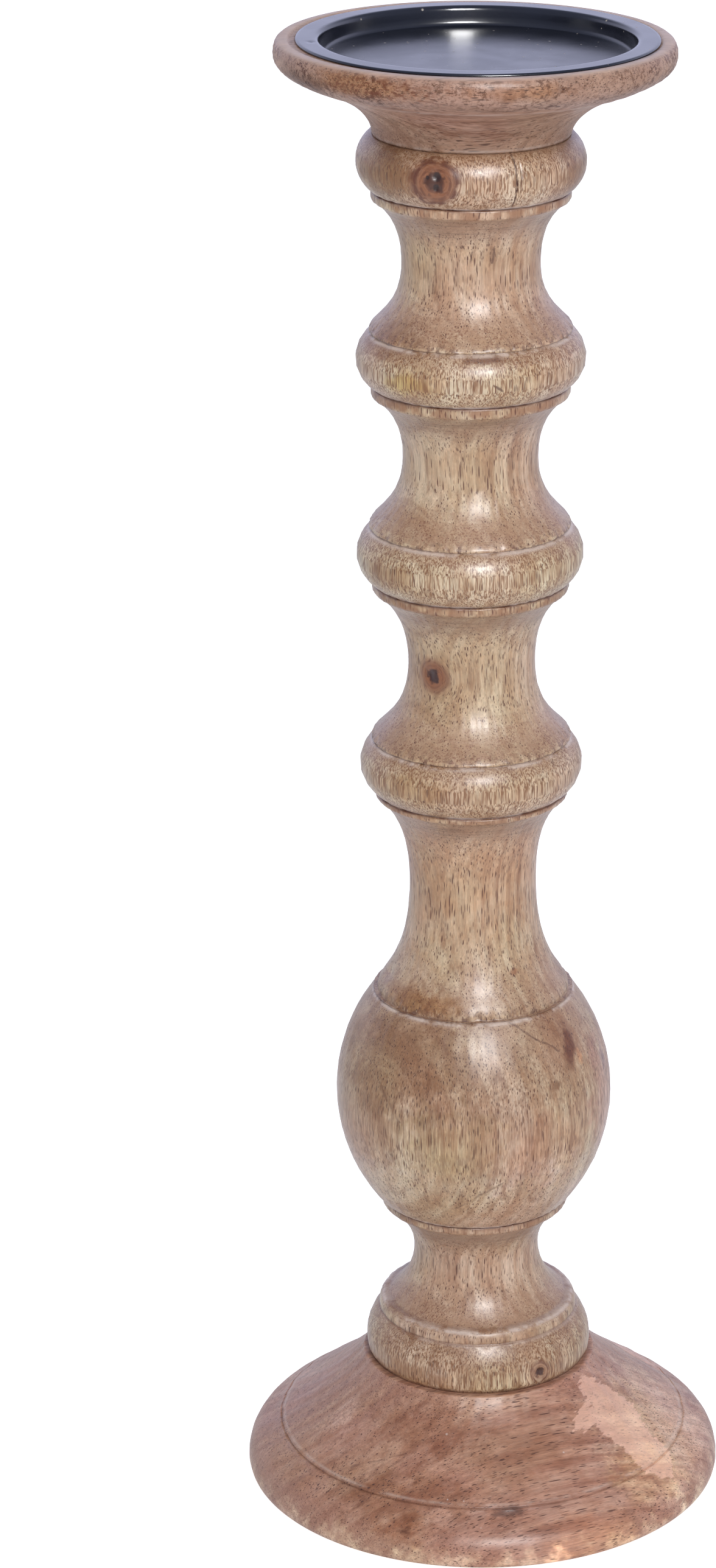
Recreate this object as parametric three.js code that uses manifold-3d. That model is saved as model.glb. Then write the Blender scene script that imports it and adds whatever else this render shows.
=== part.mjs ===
// A turned wooden holder for a pillar candle, with a pressed-steel drip pan.
// Millimetres, +Z up. The origin is on the table, under the centre of the base.
// Everything is stacked from the table up: felt pads, base, column, dish, drip pan.
import * as THREE from "three";
import { mergeVertices } from "three/addons/utils/BufferGeometryUtils.js";
import Module from "manifold-3d";

const wasm = await Module();
wasm.setup();

// Felt pads under the base
const PAD_COUNT = 4;
const PAD_R = 8;
const PAD_THICK = 2;
const PAD_INSET = 15; // from the base's widest ring in to the middle of a pad

// Base: a low cone with a turned crease and a rounded edge
const BASE_HEIGHT = 33.4;
const BASE_R = 65.1; // widest ring
const BASE_WIDEST_HEIGHT = 1; // the widest ring above the underside
const BASE_UNDERCUT = 0.4; // the underside's edge, in from the widest ring
const BASE_LEDGE = 1.3; // the base shows this far round the column
const BASE_CREASE_INSET = 8.9; // from the widest ring in to the crease
const BASE_CREASE_HEIGHT = 12.6; // above the underside
const BASE_CREASE_DEPTH = 0.7;
const BASE_RECESS_DEPTH = 10; // counterbore for the screw head, from below
const BASE_RECESS_CLEAR = 3; // round the washer

// Column, lowest mouldings: a broad bead and a thin ring over it
const FOOT_BEAD_R = 30.3; // where it stands on the base
const FOOT_BEAD_HEIGHT = 13;
const FOOT_BEAD_BULGE = 0.7;
const FOOT_BEAD_LEAN = 3; // from its foot in to its top
const FOOT_RING_HEIGHT = 3.8;
const FOOT_RING_LEAN = 3.3;

// Column, the five stages above. Each is a shoulder, a neck, a hollow, a fillet and a swelling.
// filletR: radius of the fillet under the swelling; the neck's and the swelling's radii follow it
// shoulder: height from the swelling below up to the neck; round and run shape its rounded foot
// waist: how far the neck lies inside the fillet
// hollow: height from the neck up to the fillet; pull: how sharply it flares at the fillet
// step: how far the swelling's ends lie outside its fillet, on average; spread: how much further out
// its top end lies than its lower end; bulge: how much further it swells out
const BALL = {
  filletR: 25.4, shoulder: 14.6, round: 0, run: 4.6, waist: 8.5,
  hollow: 13.5, pull: 0.36, fillet: 3, step: 1.1, spread: 1.5, swelling: 59.6, bulge: 10.45,
};
const BEAD_4 = {
  filletR: 25.5, shoulder: 31.9, round: 3.2, run: 5.6, waist: 8.7,
  hollow: 23.6, pull: 0.55, fillet: 2.3, step: 0.4, spread: 0.6, swelling: 13.8, bulge: 3.5,
};
const BEAD_3 = {
  filletR: 25.7, shoulder: 21.3, round: 2.8, run: 5, waist: 9.1,
  hollow: 19.6, pull: 0.53, fillet: 3.1, step: 0.4, spread: 0.2, swelling: 14.1, bulge: 3.5,
};
const BEAD_2 = {
  filletR: 25.7, shoulder: 19.2, round: 3.2, run: 5.6, waist: 8.2,
  hollow: 16, pull: 0.5, fillet: 3.5, step: 0.4, spread: 0.2, swelling: 13.6, bulge: 3.55,
};
const BEAD_1 = {
  filletR: 25.5, shoulder: 17.9, round: 2.6, run: 5, waist: 7.8,
  hollow: 16.4, pull: 0.55, fillet: 3.2, step: 0.4, spread: 0.2, swelling: 14.1, bulge: 3.45,
};
const STAGES = [BALL, BEAD_4, BEAD_3, BEAD_2, BEAD_1];
const HOLLOW_EDGE_SHARE = 0.18; // where a hollow's curve leaves its edge, as a share of its height
const HOLLOW_NECK_SHARE = 0.46; // where it turns level with the axis
const FILLET_ROUND = 0.8; // rounding at a fillet's lower edge
const GROOVE_DEPTH = 0.5; // V groove on both sides of each swelling
const GROOVE_HEIGHT = 0.6;

// Spigots of the column in the base and in the dish
const BASE_SPIGOT_R = 12;
const BASE_SPIGOT_LENGTH = 14;
const DISH_SPIGOT_R = 11;
const SPIGOT_GAP = 0.3;

// Dish: a turned cup with a rounded rim, flat on top, recessed for the drip pan
const DISH_HEIGHT = 22.7;
const DISH_LEDGE = 3.3; // flat wood round the pan's flange
const DISH_EDGE = 1.6; // rounding from the flat to the widest ring
const DISH_WIDEST_BELOW_TOP = 2.8;
const DISH_RIM_BELOW_TOP = 9.2; // from the top down to the edge between rim and hollow
const DISH_RIM_INSET = 8.4; // and from the widest ring in to that edge
const DISH_FOOT_INSET = 0.7; // its foot lies this far inside the bead it sits on
const DISH_WALL_CLEAR = 0.3; // beside the bend under the pan's flange
const DISH_FLOOR_CLEAR = 1; // under the pan's floor
const DISH_WEB = 4; // wood between the washer and the column's spigot

// Drip pan: pressed sheet, a flat flange, a tapered wall and a flat floor
const PAN_SHEET = 0.8;
const PAN_MOUTH_R = 40.3;
const PAN_FLANGE_WIDTH = 5.6;
const PAN_TAPER = 1.8; // from the mouth in to the floor
const PAN_DEPTH = 4.4; // inside, from the flange's top to the floor
const PAN_BEND = 1; // inner radius of both bends
const PAN_SHIFT = 0.7; // the loose pan lies this far to the right of the middle

// Screws: one down through the dish, one up through the base, each with a washer
const SCREW_R = 2.3; // over the thread
const SCREW_THREAD = 0.6; // depth of the thread
const SCREW_PITCH = 3;
const SCREW_GAP = 0.4; // between the thread and its hole
const SCREW_POINT = 3;
const SCREW_HEAD_R = 4.6;
const SCREW_HEAD_HEIGHT = 2.8;
const SCREW_SLOT = 1.1; // width of the cross recess
const SCREW_SLOT_LENGTH = 5;
const SCREW_SLOT_DEPTH = 1.5;
const WASHER_R = 8;
const WASHER_THICK = 1.2;
const DISH_SCREW_LENGTH = 32; // under the head
const BASE_SCREW_LENGTH = 42;
const DISH_RECESS_DEPTH = 5; // for the washer and the head, in the dish's floor
const DISH_RECESS_CLEAR = 1; // round the washer
const PILOT_SPARE = 3; // the pilot hole runs this far past the screw's point

// Shapes of the other free curves, each a share of the run or the rise that its curve covers
const FOOT_BEAD_PULL = 0.36; // height of both control points, from the bead's ends
const FOOT_RING_PULL = 0.32;
const BASE_EDGE_STEEP = 0.56;
const BASE_EDGE_LEAN = 0.42;
const BASE_EDGE_DROP = 0.31;
const CONE_LOW_RUN = 0.42;
const CONE_LOW_RISE = 0.32;
const CONE_HIGH_RUN = 0.08;
const CONE_HIGH_RISE = 0.22;
const DISH_STEEP_RUN = 0.02;
const DISH_STEEP_RISE = 0.37;
const DISH_LEVEL_RUN = 0.37;
const DISH_LEVEL_RISE = 0.25;
const RIM_LOW_RUN = 0.6;
const RIM_LOW_RISE = 0.28;
const RIM_HIGH_RISE = 0.4;
const RIM_TOP_RISE = 0.2;
const PAN_BEND_LEAN = 0.2; // a bend ends this share of its radius along the tapered wall
const HEAD_EDGE_RISE = 0.3;
const HEAD_CROWN_RUN = 0.85;

// Fineness of the round forms
const ROUND_STEPS = 40;
const COLUMN_STEPS = 32;
const SCREW_STEPS = 12;
const CURVE_STEPS = 4;

// Radii that follow from the sizes above
const holeR = SCREW_R + SCREW_GAP;
const panFlangeR = PAN_MOUTH_R + PAN_FLANGE_WIDTH;
const panFloorR = PAN_MOUTH_R - PAN_TAPER;
const dishTopR = panFlangeR + DISH_LEDGE;
const dishR = dishTopR + DISH_EDGE;
const lowerEndR = (stage) => stage.filletR + stage.step - stage.spread / 2;
const upperEndR = (stage) => stage.filletR + stage.step + stage.spread / 2;
const dishFootR = upperEndR(BEAD_1) - DISH_FOOT_INSET;
const baseTopR = FOOT_BEAD_R + BASE_LEDGE;

// Heights above the table, each from the piece below it
const baseBottomZ = PAD_THICK;
const baseTopZ = baseBottomZ + BASE_HEIGHT;
const stageHeight = (stage) => stage.shoulder + stage.hollow + stage.fillet + stage.swelling;
const stagesHeight = STAGES.reduce((sum, stage) => sum + stageHeight(stage), 0);
const columnTopZ = baseTopZ + FOOT_BEAD_HEIGHT + FOOT_RING_HEIGHT + stagesHeight;
const dishTopZ = columnTopZ + DISH_HEIGHT;
const panTopZ = dishTopZ + PAN_SHEET;
const panFloorZ = panTopZ - PAN_DEPTH;
const dishFloorZ = panFloorZ - PAN_SHEET - DISH_FLOOR_CLEAR;
const dishWasherZ = dishFloorZ - DISH_RECESS_DEPTH;
const dishMortiseZ = dishWasherZ - DISH_WEB;
const dishScrewHeadZ = dishWasherZ + WASHER_THICK;
const baseMortiseZ = baseTopZ - BASE_SPIGOT_LENGTH - SPIGOT_GAP;
const baseWasherZ = baseBottomZ + BASE_RECESS_DEPTH;
const baseScrewHeadZ = baseWasherZ - WASHER_THICK;

// Materials
function paint(color, roughness, metalness = 0) {
  return new THREE.MeshStandardMaterial({ color, roughness, metalness });
}

const COLUMN_WOOD = paint(0xae9068, 0.45);
const DISH_WOOD = paint(0x99775f, 0.45);
const BASE_WOOD = paint(0x9b7460, 0.45);
const BLACK_STEEL = paint(0x25272d, 0.4, 0.5);
const BRIGHT_STEEL = paint(0xb4b8bc, 0.35, 1);
const FELT = paint(0x2f2b29, 0.95);

// A solid of revolution about Z from an outline of (radius, height) points.
function turned(outline, steps) {
  const points = outline instanceof THREE.Path ? outline.getPoints(CURVE_STEPS) : outline;
  return new THREE.LatheGeometry(points, steps).rotateX(Math.PI / 2);
}

function outlineOf(...pairs) {
  return pairs.map(([r, z]) => new THREE.Vector2(r, z));
}

function solidOf(geometry) {
  const bare = geometry.clone();
  bare.deleteAttribute("normal");
  bare.deleteAttribute("uv");
  const merged = mergeVertices(bare, 1e-4);
  const vertProperties = merged.attributes.position.array;
  const triVerts = new Uint32Array(merged.index.array);
  return new wasm.Manifold(new wasm.Mesh({ numProp: 3, vertProperties, triVerts }));
}

function geometryOf(solid) {
  const mesh = solid.getMesh();
  const geometry = new THREE.BufferGeometry();
  geometry.setAttribute("position", new THREE.BufferAttribute(mesh.vertProperties, 3));
  geometry.setIndex(new THREE.BufferAttribute(mesh.triVerts, 1));
  return geometry;
}

// Column mouldings. Each carries the outline on from its last point.

// A shoulder that rounds over the swelling below it and then hollows in to a neck.
function shoulderToNeck(outline, round, run, neckR, neckZ) {
  const { x: r, y: z } = outline.currentPoint;
  outline.bezierCurveTo(r, z + round, neckR, z + run, neckR, neckZ);
}

// A hollow that leaves a neck along the axis and flares out to an edge.
function hollowFromNeck(outline, edgeR, edgeZ, pull) {
  const { x: neckR, y: neckZ } = outline.currentPoint;
  const height = edgeZ - neckZ;
  const flareR = edgeR - pull * (edgeR - neckR);
  const flareZ = edgeZ - HOLLOW_EDGE_SHARE * height;
  outline.bezierCurveTo(neckR, edgeZ - HOLLOW_NECK_SHARE * height, flareR, flareZ, edgeR, edgeZ);
}

// A swelling: the arc of a circle from (lowR, z) to (topR, topZ) that stands bulge outside its chord.
function swelling(outline, lowR, z, topR, topZ, bulge) {
  const half = Math.hypot(topZ - z, topR - lowR) / 2;
  const arcR = (half * half + bulge * bulge) / (2 * bulge);
  const angle = Math.asin(half / arcR);
  const tilt = Math.atan2(lowR - topR, topZ - z);
  const centerR = (lowR + topR) / 2 - (arcR - bulge) * Math.cos(tilt);
  const centerZ = (z + topZ) / 2 - (arcR - bulge) * Math.sin(tilt);
  outline.absarc(centerR, centerZ, arcR, tilt - angle, tilt + angle, false);
}

// A V groove, then on to (r, z) just past it.
function groove(outline, bottomR, r, z) {
  outline.lineTo(bottomR, z - GROOVE_HEIGHT / 2);
  outline.lineTo(r, z);
}

function stageOutline(outline, startZ, stage) {
  const neckZ = startZ + stage.shoulder;
  const filletZ = neckZ + stage.hollow;
  const swellingZ = filletZ + stage.fillet;
  const topZ = swellingZ + stage.swelling;
  shoulderToNeck(outline, stage.round, stage.run, stage.filletR - stage.waist, neckZ);
  hollowFromNeck(outline, stage.filletR - FILLET_ROUND, filletZ, stage.pull);
  outline.lineTo(stage.filletR, filletZ + FILLET_ROUND);
  outline.lineTo(stage.filletR, swellingZ - GROOVE_HEIGHT);
  groove(outline, stage.filletR - GROOVE_DEPTH, lowerEndR(stage), swellingZ);
  swelling(outline, lowerEndR(stage), swellingZ, upperEndR(stage), topZ, stage.bulge);
  return topZ;
}

// The broad bead and the thin ring at the column's foot, from the base's top up.
function footOutline(outline) {
  const beadTopZ = baseTopZ + FOOT_BEAD_HEIGHT;
  const ringTopZ = beadTopZ + FOOT_RING_HEIGHT;
  const beadTopR = FOOT_BEAD_R - FOOT_BEAD_LEAN;
  const pullR = FOOT_BEAD_R + FOOT_BEAD_BULGE;
  const pullZ = FOOT_BEAD_PULL * FOOT_BEAD_HEIGHT;
  outline.lineTo(FOOT_BEAD_R, baseTopZ);
  outline.bezierCurveTo(pullR, baseTopZ + pullZ, pullR, beadTopZ - pullZ, beadTopR, beadTopZ);
  groove(outline, beadTopR - GROOVE_DEPTH, beadTopR - GROOVE_DEPTH / 2, beadTopZ + GROOVE_HEIGHT);
  const ringPullZ = ringTopZ - FOOT_RING_PULL * FOOT_RING_HEIGHT;
  outline.quadraticCurveTo(beadTopR - 2 * GROOVE_DEPTH, ringPullZ, beadTopR - FOOT_RING_LEAN, ringTopZ);
  return ringTopZ;
}

function columnGeometry() {
  const outline = new THREE.Path();
  const lowerPilotZ = baseScrewHeadZ + BASE_SCREW_LENGTH + PILOT_SPARE;
  const upperPilotZ = dishScrewHeadZ - DISH_SCREW_LENGTH - PILOT_SPARE;
  const lowerSpigotZ = baseMortiseZ + SPIGOT_GAP;
  const upperSpigotZ = dishMortiseZ - SPIGOT_GAP;
  outline.moveTo(0, lowerPilotZ);
  outline.lineTo(holeR, lowerPilotZ - holeR);
  outline.lineTo(holeR, lowerSpigotZ);
  outline.lineTo(BASE_SPIGOT_R, lowerSpigotZ);
  outline.lineTo(BASE_SPIGOT_R, baseTopZ);

  let z = footOutline(outline);
  for (const stage of STAGES) {
    z = stageOutline(outline, z, stage);
    const endR = upperEndR(stage);
    if (z < columnTopZ) groove(outline, endR - GROOVE_DEPTH, endR, z + GROOVE_HEIGHT);
  }

  outline.lineTo(DISH_SPIGOT_R, columnTopZ);
  outline.lineTo(DISH_SPIGOT_R, upperSpigotZ);
  outline.lineTo(holeR, upperSpigotZ);
  outline.lineTo(holeR, upperPilotZ + holeR);
  outline.lineTo(0, upperPilotZ);
  return turned(outline, COLUMN_STEPS);
}

function baseGeometry() {
  const outline = new THREE.Path();
  const mortiseR = BASE_SPIGOT_R + SPIGOT_GAP;
  const recessR = WASHER_R + BASE_RECESS_CLEAR;
  const creaseR = BASE_R - BASE_CREASE_INSET;
  const creaseZ = baseBottomZ + BASE_CREASE_HEIGHT;
  const widestZ = baseBottomZ + BASE_WIDEST_HEIGHT;
  const edgeRise = creaseZ - widestZ;
  const coneRun = creaseR - baseTopR;
  const coneRise = baseTopZ - creaseZ;
  outline.moveTo(holeR, baseWasherZ);
  outline.lineTo(recessR, baseWasherZ);
  outline.lineTo(recessR, baseBottomZ);
  outline.lineTo(BASE_R - BASE_UNDERCUT, baseBottomZ);
  outline.quadraticCurveTo(BASE_R, baseBottomZ + BASE_WIDEST_HEIGHT / 3, BASE_R, widestZ);
  // the rounded edge rises steeply and then leans back to the crease
  const steepZ = widestZ + BASE_EDGE_STEEP * edgeRise;
  const leanR = creaseR + BASE_EDGE_LEAN * BASE_CREASE_INSET;
  const leanZ = creaseZ - BASE_EDGE_DROP * edgeRise;
  outline.bezierCurveTo(BASE_R, steepZ, leanR, leanZ, creaseR, creaseZ);
  outline.lineTo(creaseR - BASE_CREASE_DEPTH, creaseZ - BASE_CREASE_DEPTH / 2);
  outline.lineTo(creaseR - BASE_CREASE_DEPTH, creaseZ + BASE_CREASE_DEPTH / 2);
  // the cone, slightly hollow towards the column
  const coneLowR = creaseR - CONE_LOW_RUN * coneRun;
  const coneLowZ = creaseZ + CONE_LOW_RISE * coneRise;
  const coneHighR = baseTopR + CONE_HIGH_RUN * coneRun;
  const coneHighZ = baseTopZ - CONE_HIGH_RISE * coneRise;
  outline.bezierCurveTo(coneLowR, coneLowZ, coneHighR, coneHighZ, baseTopR, baseTopZ);
  outline.lineTo(mortiseR, baseTopZ);
  outline.lineTo(mortiseR, baseMortiseZ);
  outline.lineTo(holeR, baseMortiseZ);
  outline.lineTo(holeR, baseWasherZ);
  return turned(outline, ROUND_STEPS);
}

function dishGeometry() {
  const outline = new THREE.Path();
  const mortiseR = DISH_SPIGOT_R + SPIGOT_GAP;
  const recessR = PAN_MOUTH_R + PAN_SHEET + PAN_BEND + PAN_SHIFT + DISH_WALL_CLEAR;
  const washerRecessR = WASHER_R + DISH_RECESS_CLEAR;
  const rimR = dishR - DISH_RIM_INSET;
  const rimZ = dishTopZ - DISH_RIM_BELOW_TOP;
  const hollowRun = rimR - dishFootR;
  const hollowRise = rimZ - columnTopZ;
  const widestZ = dishTopZ - DISH_WIDEST_BELOW_TOP;
  const rimRise = widestZ - rimZ;
  outline.moveTo(holeR, dishMortiseZ);
  outline.lineTo(mortiseR, dishMortiseZ);
  outline.lineTo(mortiseR, columnTopZ);
  outline.lineTo(dishFootR, columnTopZ);
  // the hollow under the rim rises steeply and then runs out nearly level
  const steepR = dishFootR + DISH_STEEP_RUN * hollowRun;
  const steepZ = columnTopZ + DISH_STEEP_RISE * hollowRise;
  const levelR = dishFootR + DISH_LEVEL_RUN * hollowRun;
  const levelZ = rimZ - DISH_LEVEL_RISE * hollowRise;
  outline.bezierCurveTo(steepR, steepZ, levelR, levelZ, rimR, rimZ);
  // the rounded rim
  const rimLowR = rimR + RIM_LOW_RUN * DISH_RIM_INSET;
  const rimLowZ = rimZ + RIM_LOW_RISE * rimRise;
  const rimHighZ = widestZ - RIM_HIGH_RISE * rimRise;
  const rimTopZ = dishTopZ - RIM_TOP_RISE * DISH_WIDEST_BELOW_TOP;
  outline.bezierCurveTo(rimLowR, rimLowZ, dishR, rimHighZ, dishR, widestZ);
  outline.quadraticCurveTo(dishR, rimTopZ, dishTopR, dishTopZ);
  outline.lineTo(recessR, dishTopZ);
  outline.lineTo(recessR, dishFloorZ);
  outline.lineTo(washerRecessR, dishFloorZ);
  outline.lineTo(washerRecessR, dishWasherZ);
  outline.lineTo(holeR, dishWasherZ);
  outline.lineTo(holeR, dishMortiseZ);
  return turned(outline, ROUND_STEPS);
}

// One side of the pressed sheet from the flange's edge in to the axis, both bends rounded.
// offset: how far this side lies outside and below the pan's inner face
function panSide(offset) {
  const side = new THREE.Path();
  const topZ = panTopZ - offset;
  const floorZ = panFloorZ - offset;
  const mouthR = PAN_MOUTH_R + offset;
  const floorR = panFloorR + offset;
  const mouthBend = PAN_BEND + PAN_SHEET - offset;
  const floorBend = PAN_BEND + offset;
  side.moveTo(panFlangeR, topZ);
  side.lineTo(mouthR + mouthBend, topZ);
  side.quadraticCurveTo(mouthR, topZ, mouthR - PAN_BEND_LEAN * mouthBend, topZ - mouthBend);
  side.lineTo(floorR + PAN_BEND_LEAN * floorBend, floorZ + floorBend);
  side.quadraticCurveTo(floorR, floorZ, floorR - floorBend, floorZ);
  side.lineTo(0, floorZ);
  return side.getPoints(CURVE_STEPS);
}

function panGeometry() {
  return turned([...panSide(PAN_SHEET).reverse(), ...panSide(0)], ROUND_STEPS);
}

// A wood screw on the Z axis: its head lies above z = 0, its thread and point below.
function screwGeometry(length) {
  const outline = new THREE.Path();
  const coreR = SCREW_R - SCREW_THREAD;
  const edge = HEAD_EDGE_RISE * SCREW_HEAD_HEIGHT;
  outline.moveTo(0, -length);
  outline.lineTo(coreR, SCREW_POINT - length);
  for (let z = SCREW_POINT - length; z + SCREW_PITCH < -SCREW_POINT; z += SCREW_PITCH) {
    outline.lineTo(SCREW_R, z + SCREW_PITCH / 2);
    outline.lineTo(coreR, z + SCREW_PITCH);
  }
  outline.lineTo(coreR, 0);
  outline.lineTo(SCREW_HEAD_R, 0);
  outline.lineTo(SCREW_HEAD_R, edge);
  outline.quadraticCurveTo(HEAD_CROWN_RUN * SCREW_HEAD_R, SCREW_HEAD_HEIGHT, 0, SCREW_HEAD_HEIGHT);
  let screw = solidOf(turned(outline, SCREW_STEPS));
  for (const turn of [0, Math.PI / 2]) {
    const slot = new THREE.BoxGeometry(SCREW_SLOT_LENGTH, SCREW_SLOT, 2 * SCREW_SLOT_DEPTH);
    slot.rotateZ(turn).translate(0, 0, SCREW_HEAD_HEIGHT);
    screw = screw.subtract(solidOf(slot));
  }
  return geometryOf(screw);
}

function washerGeometry(z) {
  const top = z + WASHER_THICK;
  const outline = outlineOf([holeR, z], [WASHER_R, z], [WASHER_R, top], [holeR, top], [holeR, z]);
  return turned(outline, 2 * SCREW_STEPS);
}

function padGeometry() {
  const outline = outlineOf([0, 0], [PAD_R, 0], [PAD_R, PAD_THICK], [0, PAD_THICK]);
  return turned(outline, 2 * SCREW_STEPS);
}

const holder = new THREE.Group();

function addPiece(name, geometry, material) {
  const piece = new THREE.Mesh(geometry, material);
  piece.name = name;
  holder.add(piece);
  return piece;
}

addPiece("base", baseGeometry(), BASE_WOOD);
addPiece("column", columnGeometry(), COLUMN_WOOD);
addPiece("dish", dishGeometry(), DISH_WOOD);
addPiece("drip_pan", panGeometry(), BLACK_STEEL).position.x = PAN_SHIFT;
addPiece("dish_washer", washerGeometry(dishWasherZ), BRIGHT_STEEL);
addPiece("dish_screw", screwGeometry(DISH_SCREW_LENGTH), BRIGHT_STEEL).position.z = dishScrewHeadZ;
addPiece("base_washer", washerGeometry(baseScrewHeadZ), BRIGHT_STEEL);
const baseScrew = addPiece("base_screw", screwGeometry(BASE_SCREW_LENGTH), BRIGHT_STEEL);
baseScrew.position.z = baseScrewHeadZ;
baseScrew.rotation.x = Math.PI;
for (let i = 0; i < PAD_COUNT; i++) {
  const turn = ((i + 0.5) / PAD_COUNT) * 2 * Math.PI;
  const ringR = BASE_R - PAD_INSET;
  const pad = addPiece("felt_pad_" + (i + 1), padGeometry(), FELT);
  pad.position.set(ringR * Math.cos(turn), ringR * Math.sin(turn), 0);
}

export default holder;
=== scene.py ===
"""A turned wooden holder for a pillar candle, with a black drip pan, dressed round its CAD frame.

The wood is a solid grain that every turned surface cuts through, so that the same fibres show as long
pores on the upright stretches and as speckles on the shoulders. Sizes are millimetres until a mesh is made.
Angles go round the column's axis in degrees: 0 faces the viewer and 90 is to the viewer's right.
"""
import math

import bpy
import numpy as np
from mathutils import Matrix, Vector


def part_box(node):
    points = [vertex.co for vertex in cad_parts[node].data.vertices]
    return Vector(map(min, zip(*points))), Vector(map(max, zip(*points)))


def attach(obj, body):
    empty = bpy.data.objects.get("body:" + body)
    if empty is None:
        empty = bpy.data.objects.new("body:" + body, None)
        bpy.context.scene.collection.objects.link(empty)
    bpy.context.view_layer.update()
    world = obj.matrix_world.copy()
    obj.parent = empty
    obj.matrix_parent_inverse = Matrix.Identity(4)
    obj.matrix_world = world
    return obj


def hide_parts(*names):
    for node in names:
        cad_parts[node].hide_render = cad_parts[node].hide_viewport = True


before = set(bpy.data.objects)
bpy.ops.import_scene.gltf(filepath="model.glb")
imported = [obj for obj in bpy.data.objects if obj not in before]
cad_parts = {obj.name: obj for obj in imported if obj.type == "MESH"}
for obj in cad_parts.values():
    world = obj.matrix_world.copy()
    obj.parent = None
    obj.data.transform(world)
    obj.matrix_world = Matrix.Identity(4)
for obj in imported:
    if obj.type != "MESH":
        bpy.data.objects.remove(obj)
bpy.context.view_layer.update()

MM = 0.001


# Sizes read from the frame

def node_span(node):
    """Radius, lowest and highest point of a round node, in millimetres."""
    low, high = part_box(node)
    return (high.x - low.x) / 2 / MM, low.z / MM, high.z / MM


BASE_R, BASE_BOTTOM, BASE_TOP = node_span("base")
DISH_R, COLUMN_TOP, DISH_TOP = node_span("dish")
_, SPIGOT_BOTTOM, SPIGOT_TOP = node_span("column")
PAN_R, PAN_BOTTOM, PAN_TOP = node_span("drip_pan")
PAN_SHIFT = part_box("drip_pan")[1].x / MM - PAN_R

# Sizes of the turned profiles, from the column's foot up
GROOVE_DEPTH = 0.5
GROOVE_HEIGHT = 0.6
FILLET_ROUND = 1.2
HOLE_R = 2.7
INSIDE_R = 14.0  # spigots and pilot holes lie within this radius

FOOT_BEAD = dict(r=30.3, height=13.0, bulge=0.7, lean=3.0)
FOOT_RING = dict(height=3.8, lean=2.9)
# The column's stages from below: radius of the fillet; heights of the shoulder and of the hollow; the
# shoulder's round, run and ledge; how far the neck is drawn in, and how far the hollow's curve is pulled;
# height of the fillet; the swelling's step over the fillet, its spread, height and bulge
STAGE = "fillet_r shoulder hollow round run ledge waist pull fillet step spread swelling bulge".split()
STAGES = [dict(zip(STAGE, sizes)) for sizes in (
    (25.4, 14.6, 13.5, 0.0, 4.6, 0.0, 8.5, 0.36, 3.0, 1.1, 0.8, 59.6, 10.6),
    (25.5, 31.9, 23.6, 4.2, 7.2, 1.2, 8.7, 0.55, 2.3, 0.4, 0.8, 13.8, 3.4),
    (25.7, 21.3, 19.6, 2.8, 5.0, 0.0, 9.1, 0.53, 3.1, 0.4, 0.4, 14.1, 3.45),
    (25.7, 19.2, 16.0, 3.0, 5.4, 0.0, 8.2, 0.5, 3.5, 0.4, 0.2, 13.6, 3.5),
    (25.5, 17.9, 16.4, 2.6, 5.0, 0.0, 7.8, 0.55, 3.2, 0.4, 0.2, 14.1, 3.35),
)]

# How the real holder stands, which its CAD frame leaves out: the column's axis wanders to the left by up
# to 2 mm, and the dish and its pan lie 0.8 degrees down to the right
LEAN_HEIGHTS = [20, 35, 50, 66, 85, 145, 175, 207, 236, 266, 292, 343, 376, 389]
LEAN_SHIFTS = [0.25, -0.7, -0.9, -1.2, -1.7, -1.7, -1.6, -1.95, -1.6, -1.95, -1.65, -1.3, -1.1, 0]
TILT_FROM = 345.0
TILT = math.tan(math.radians(0.8))
SETTLE = 0.35
RIM_RISE = 0.7

# Rows along each outline and columns round it
COLUMN_GRID = 428, 230
BASE_GRID = 226, 436
DISH_GRID = 200, 420
PAN_GRID = 150, 360


def lean(z):
    """How far the real holder's axis lies to the right at a height."""
    return np.interp(z, LEAN_HEIGHTS, LEAN_SHIFTS)


def as_made(points):
    """Points where they lie on the real holder: x moves by lean(z), z drops by TILT times x, fading in from
    TILT_FROM to the column's top, and the rim rises by RIM_RISE, from nothing at the pan's floor."""
    x, y, z = points[..., 0], points[..., 1], points[..., 2]
    share = np.clip((z - TILT_FROM) / (COLUMN_TOP - TILT_FROM), 0, 1)
    share = share * share * (3 - 2 * share)
    rise = RIM_RISE * np.clip((z - PAN_BOTTOM) / (DISH_TOP - PAN_BOTTOM), 0, 1)
    return np.stack([x + lean(z), y, z - share * (TILT * x + SETTLE) + rise], axis=-1)


def seen_turn(r, z, turn):
    """The turn of a point once it has leaned; faults are placed as they are seen."""
    angle = np.radians(turn)
    return np.degrees(np.arctan2(r * np.sin(angle) + lean(z), r * np.cos(angle)))


# Outlines: arrays of (radius, height)

def joined(*stretches):
    """The stretches end to end, without points that coincide."""
    outline = np.vstack(stretches)
    step = np.linalg.norm(np.diff(outline, axis=0), axis=1)
    return outline[np.concatenate([[True], step > 1e-6])]


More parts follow.
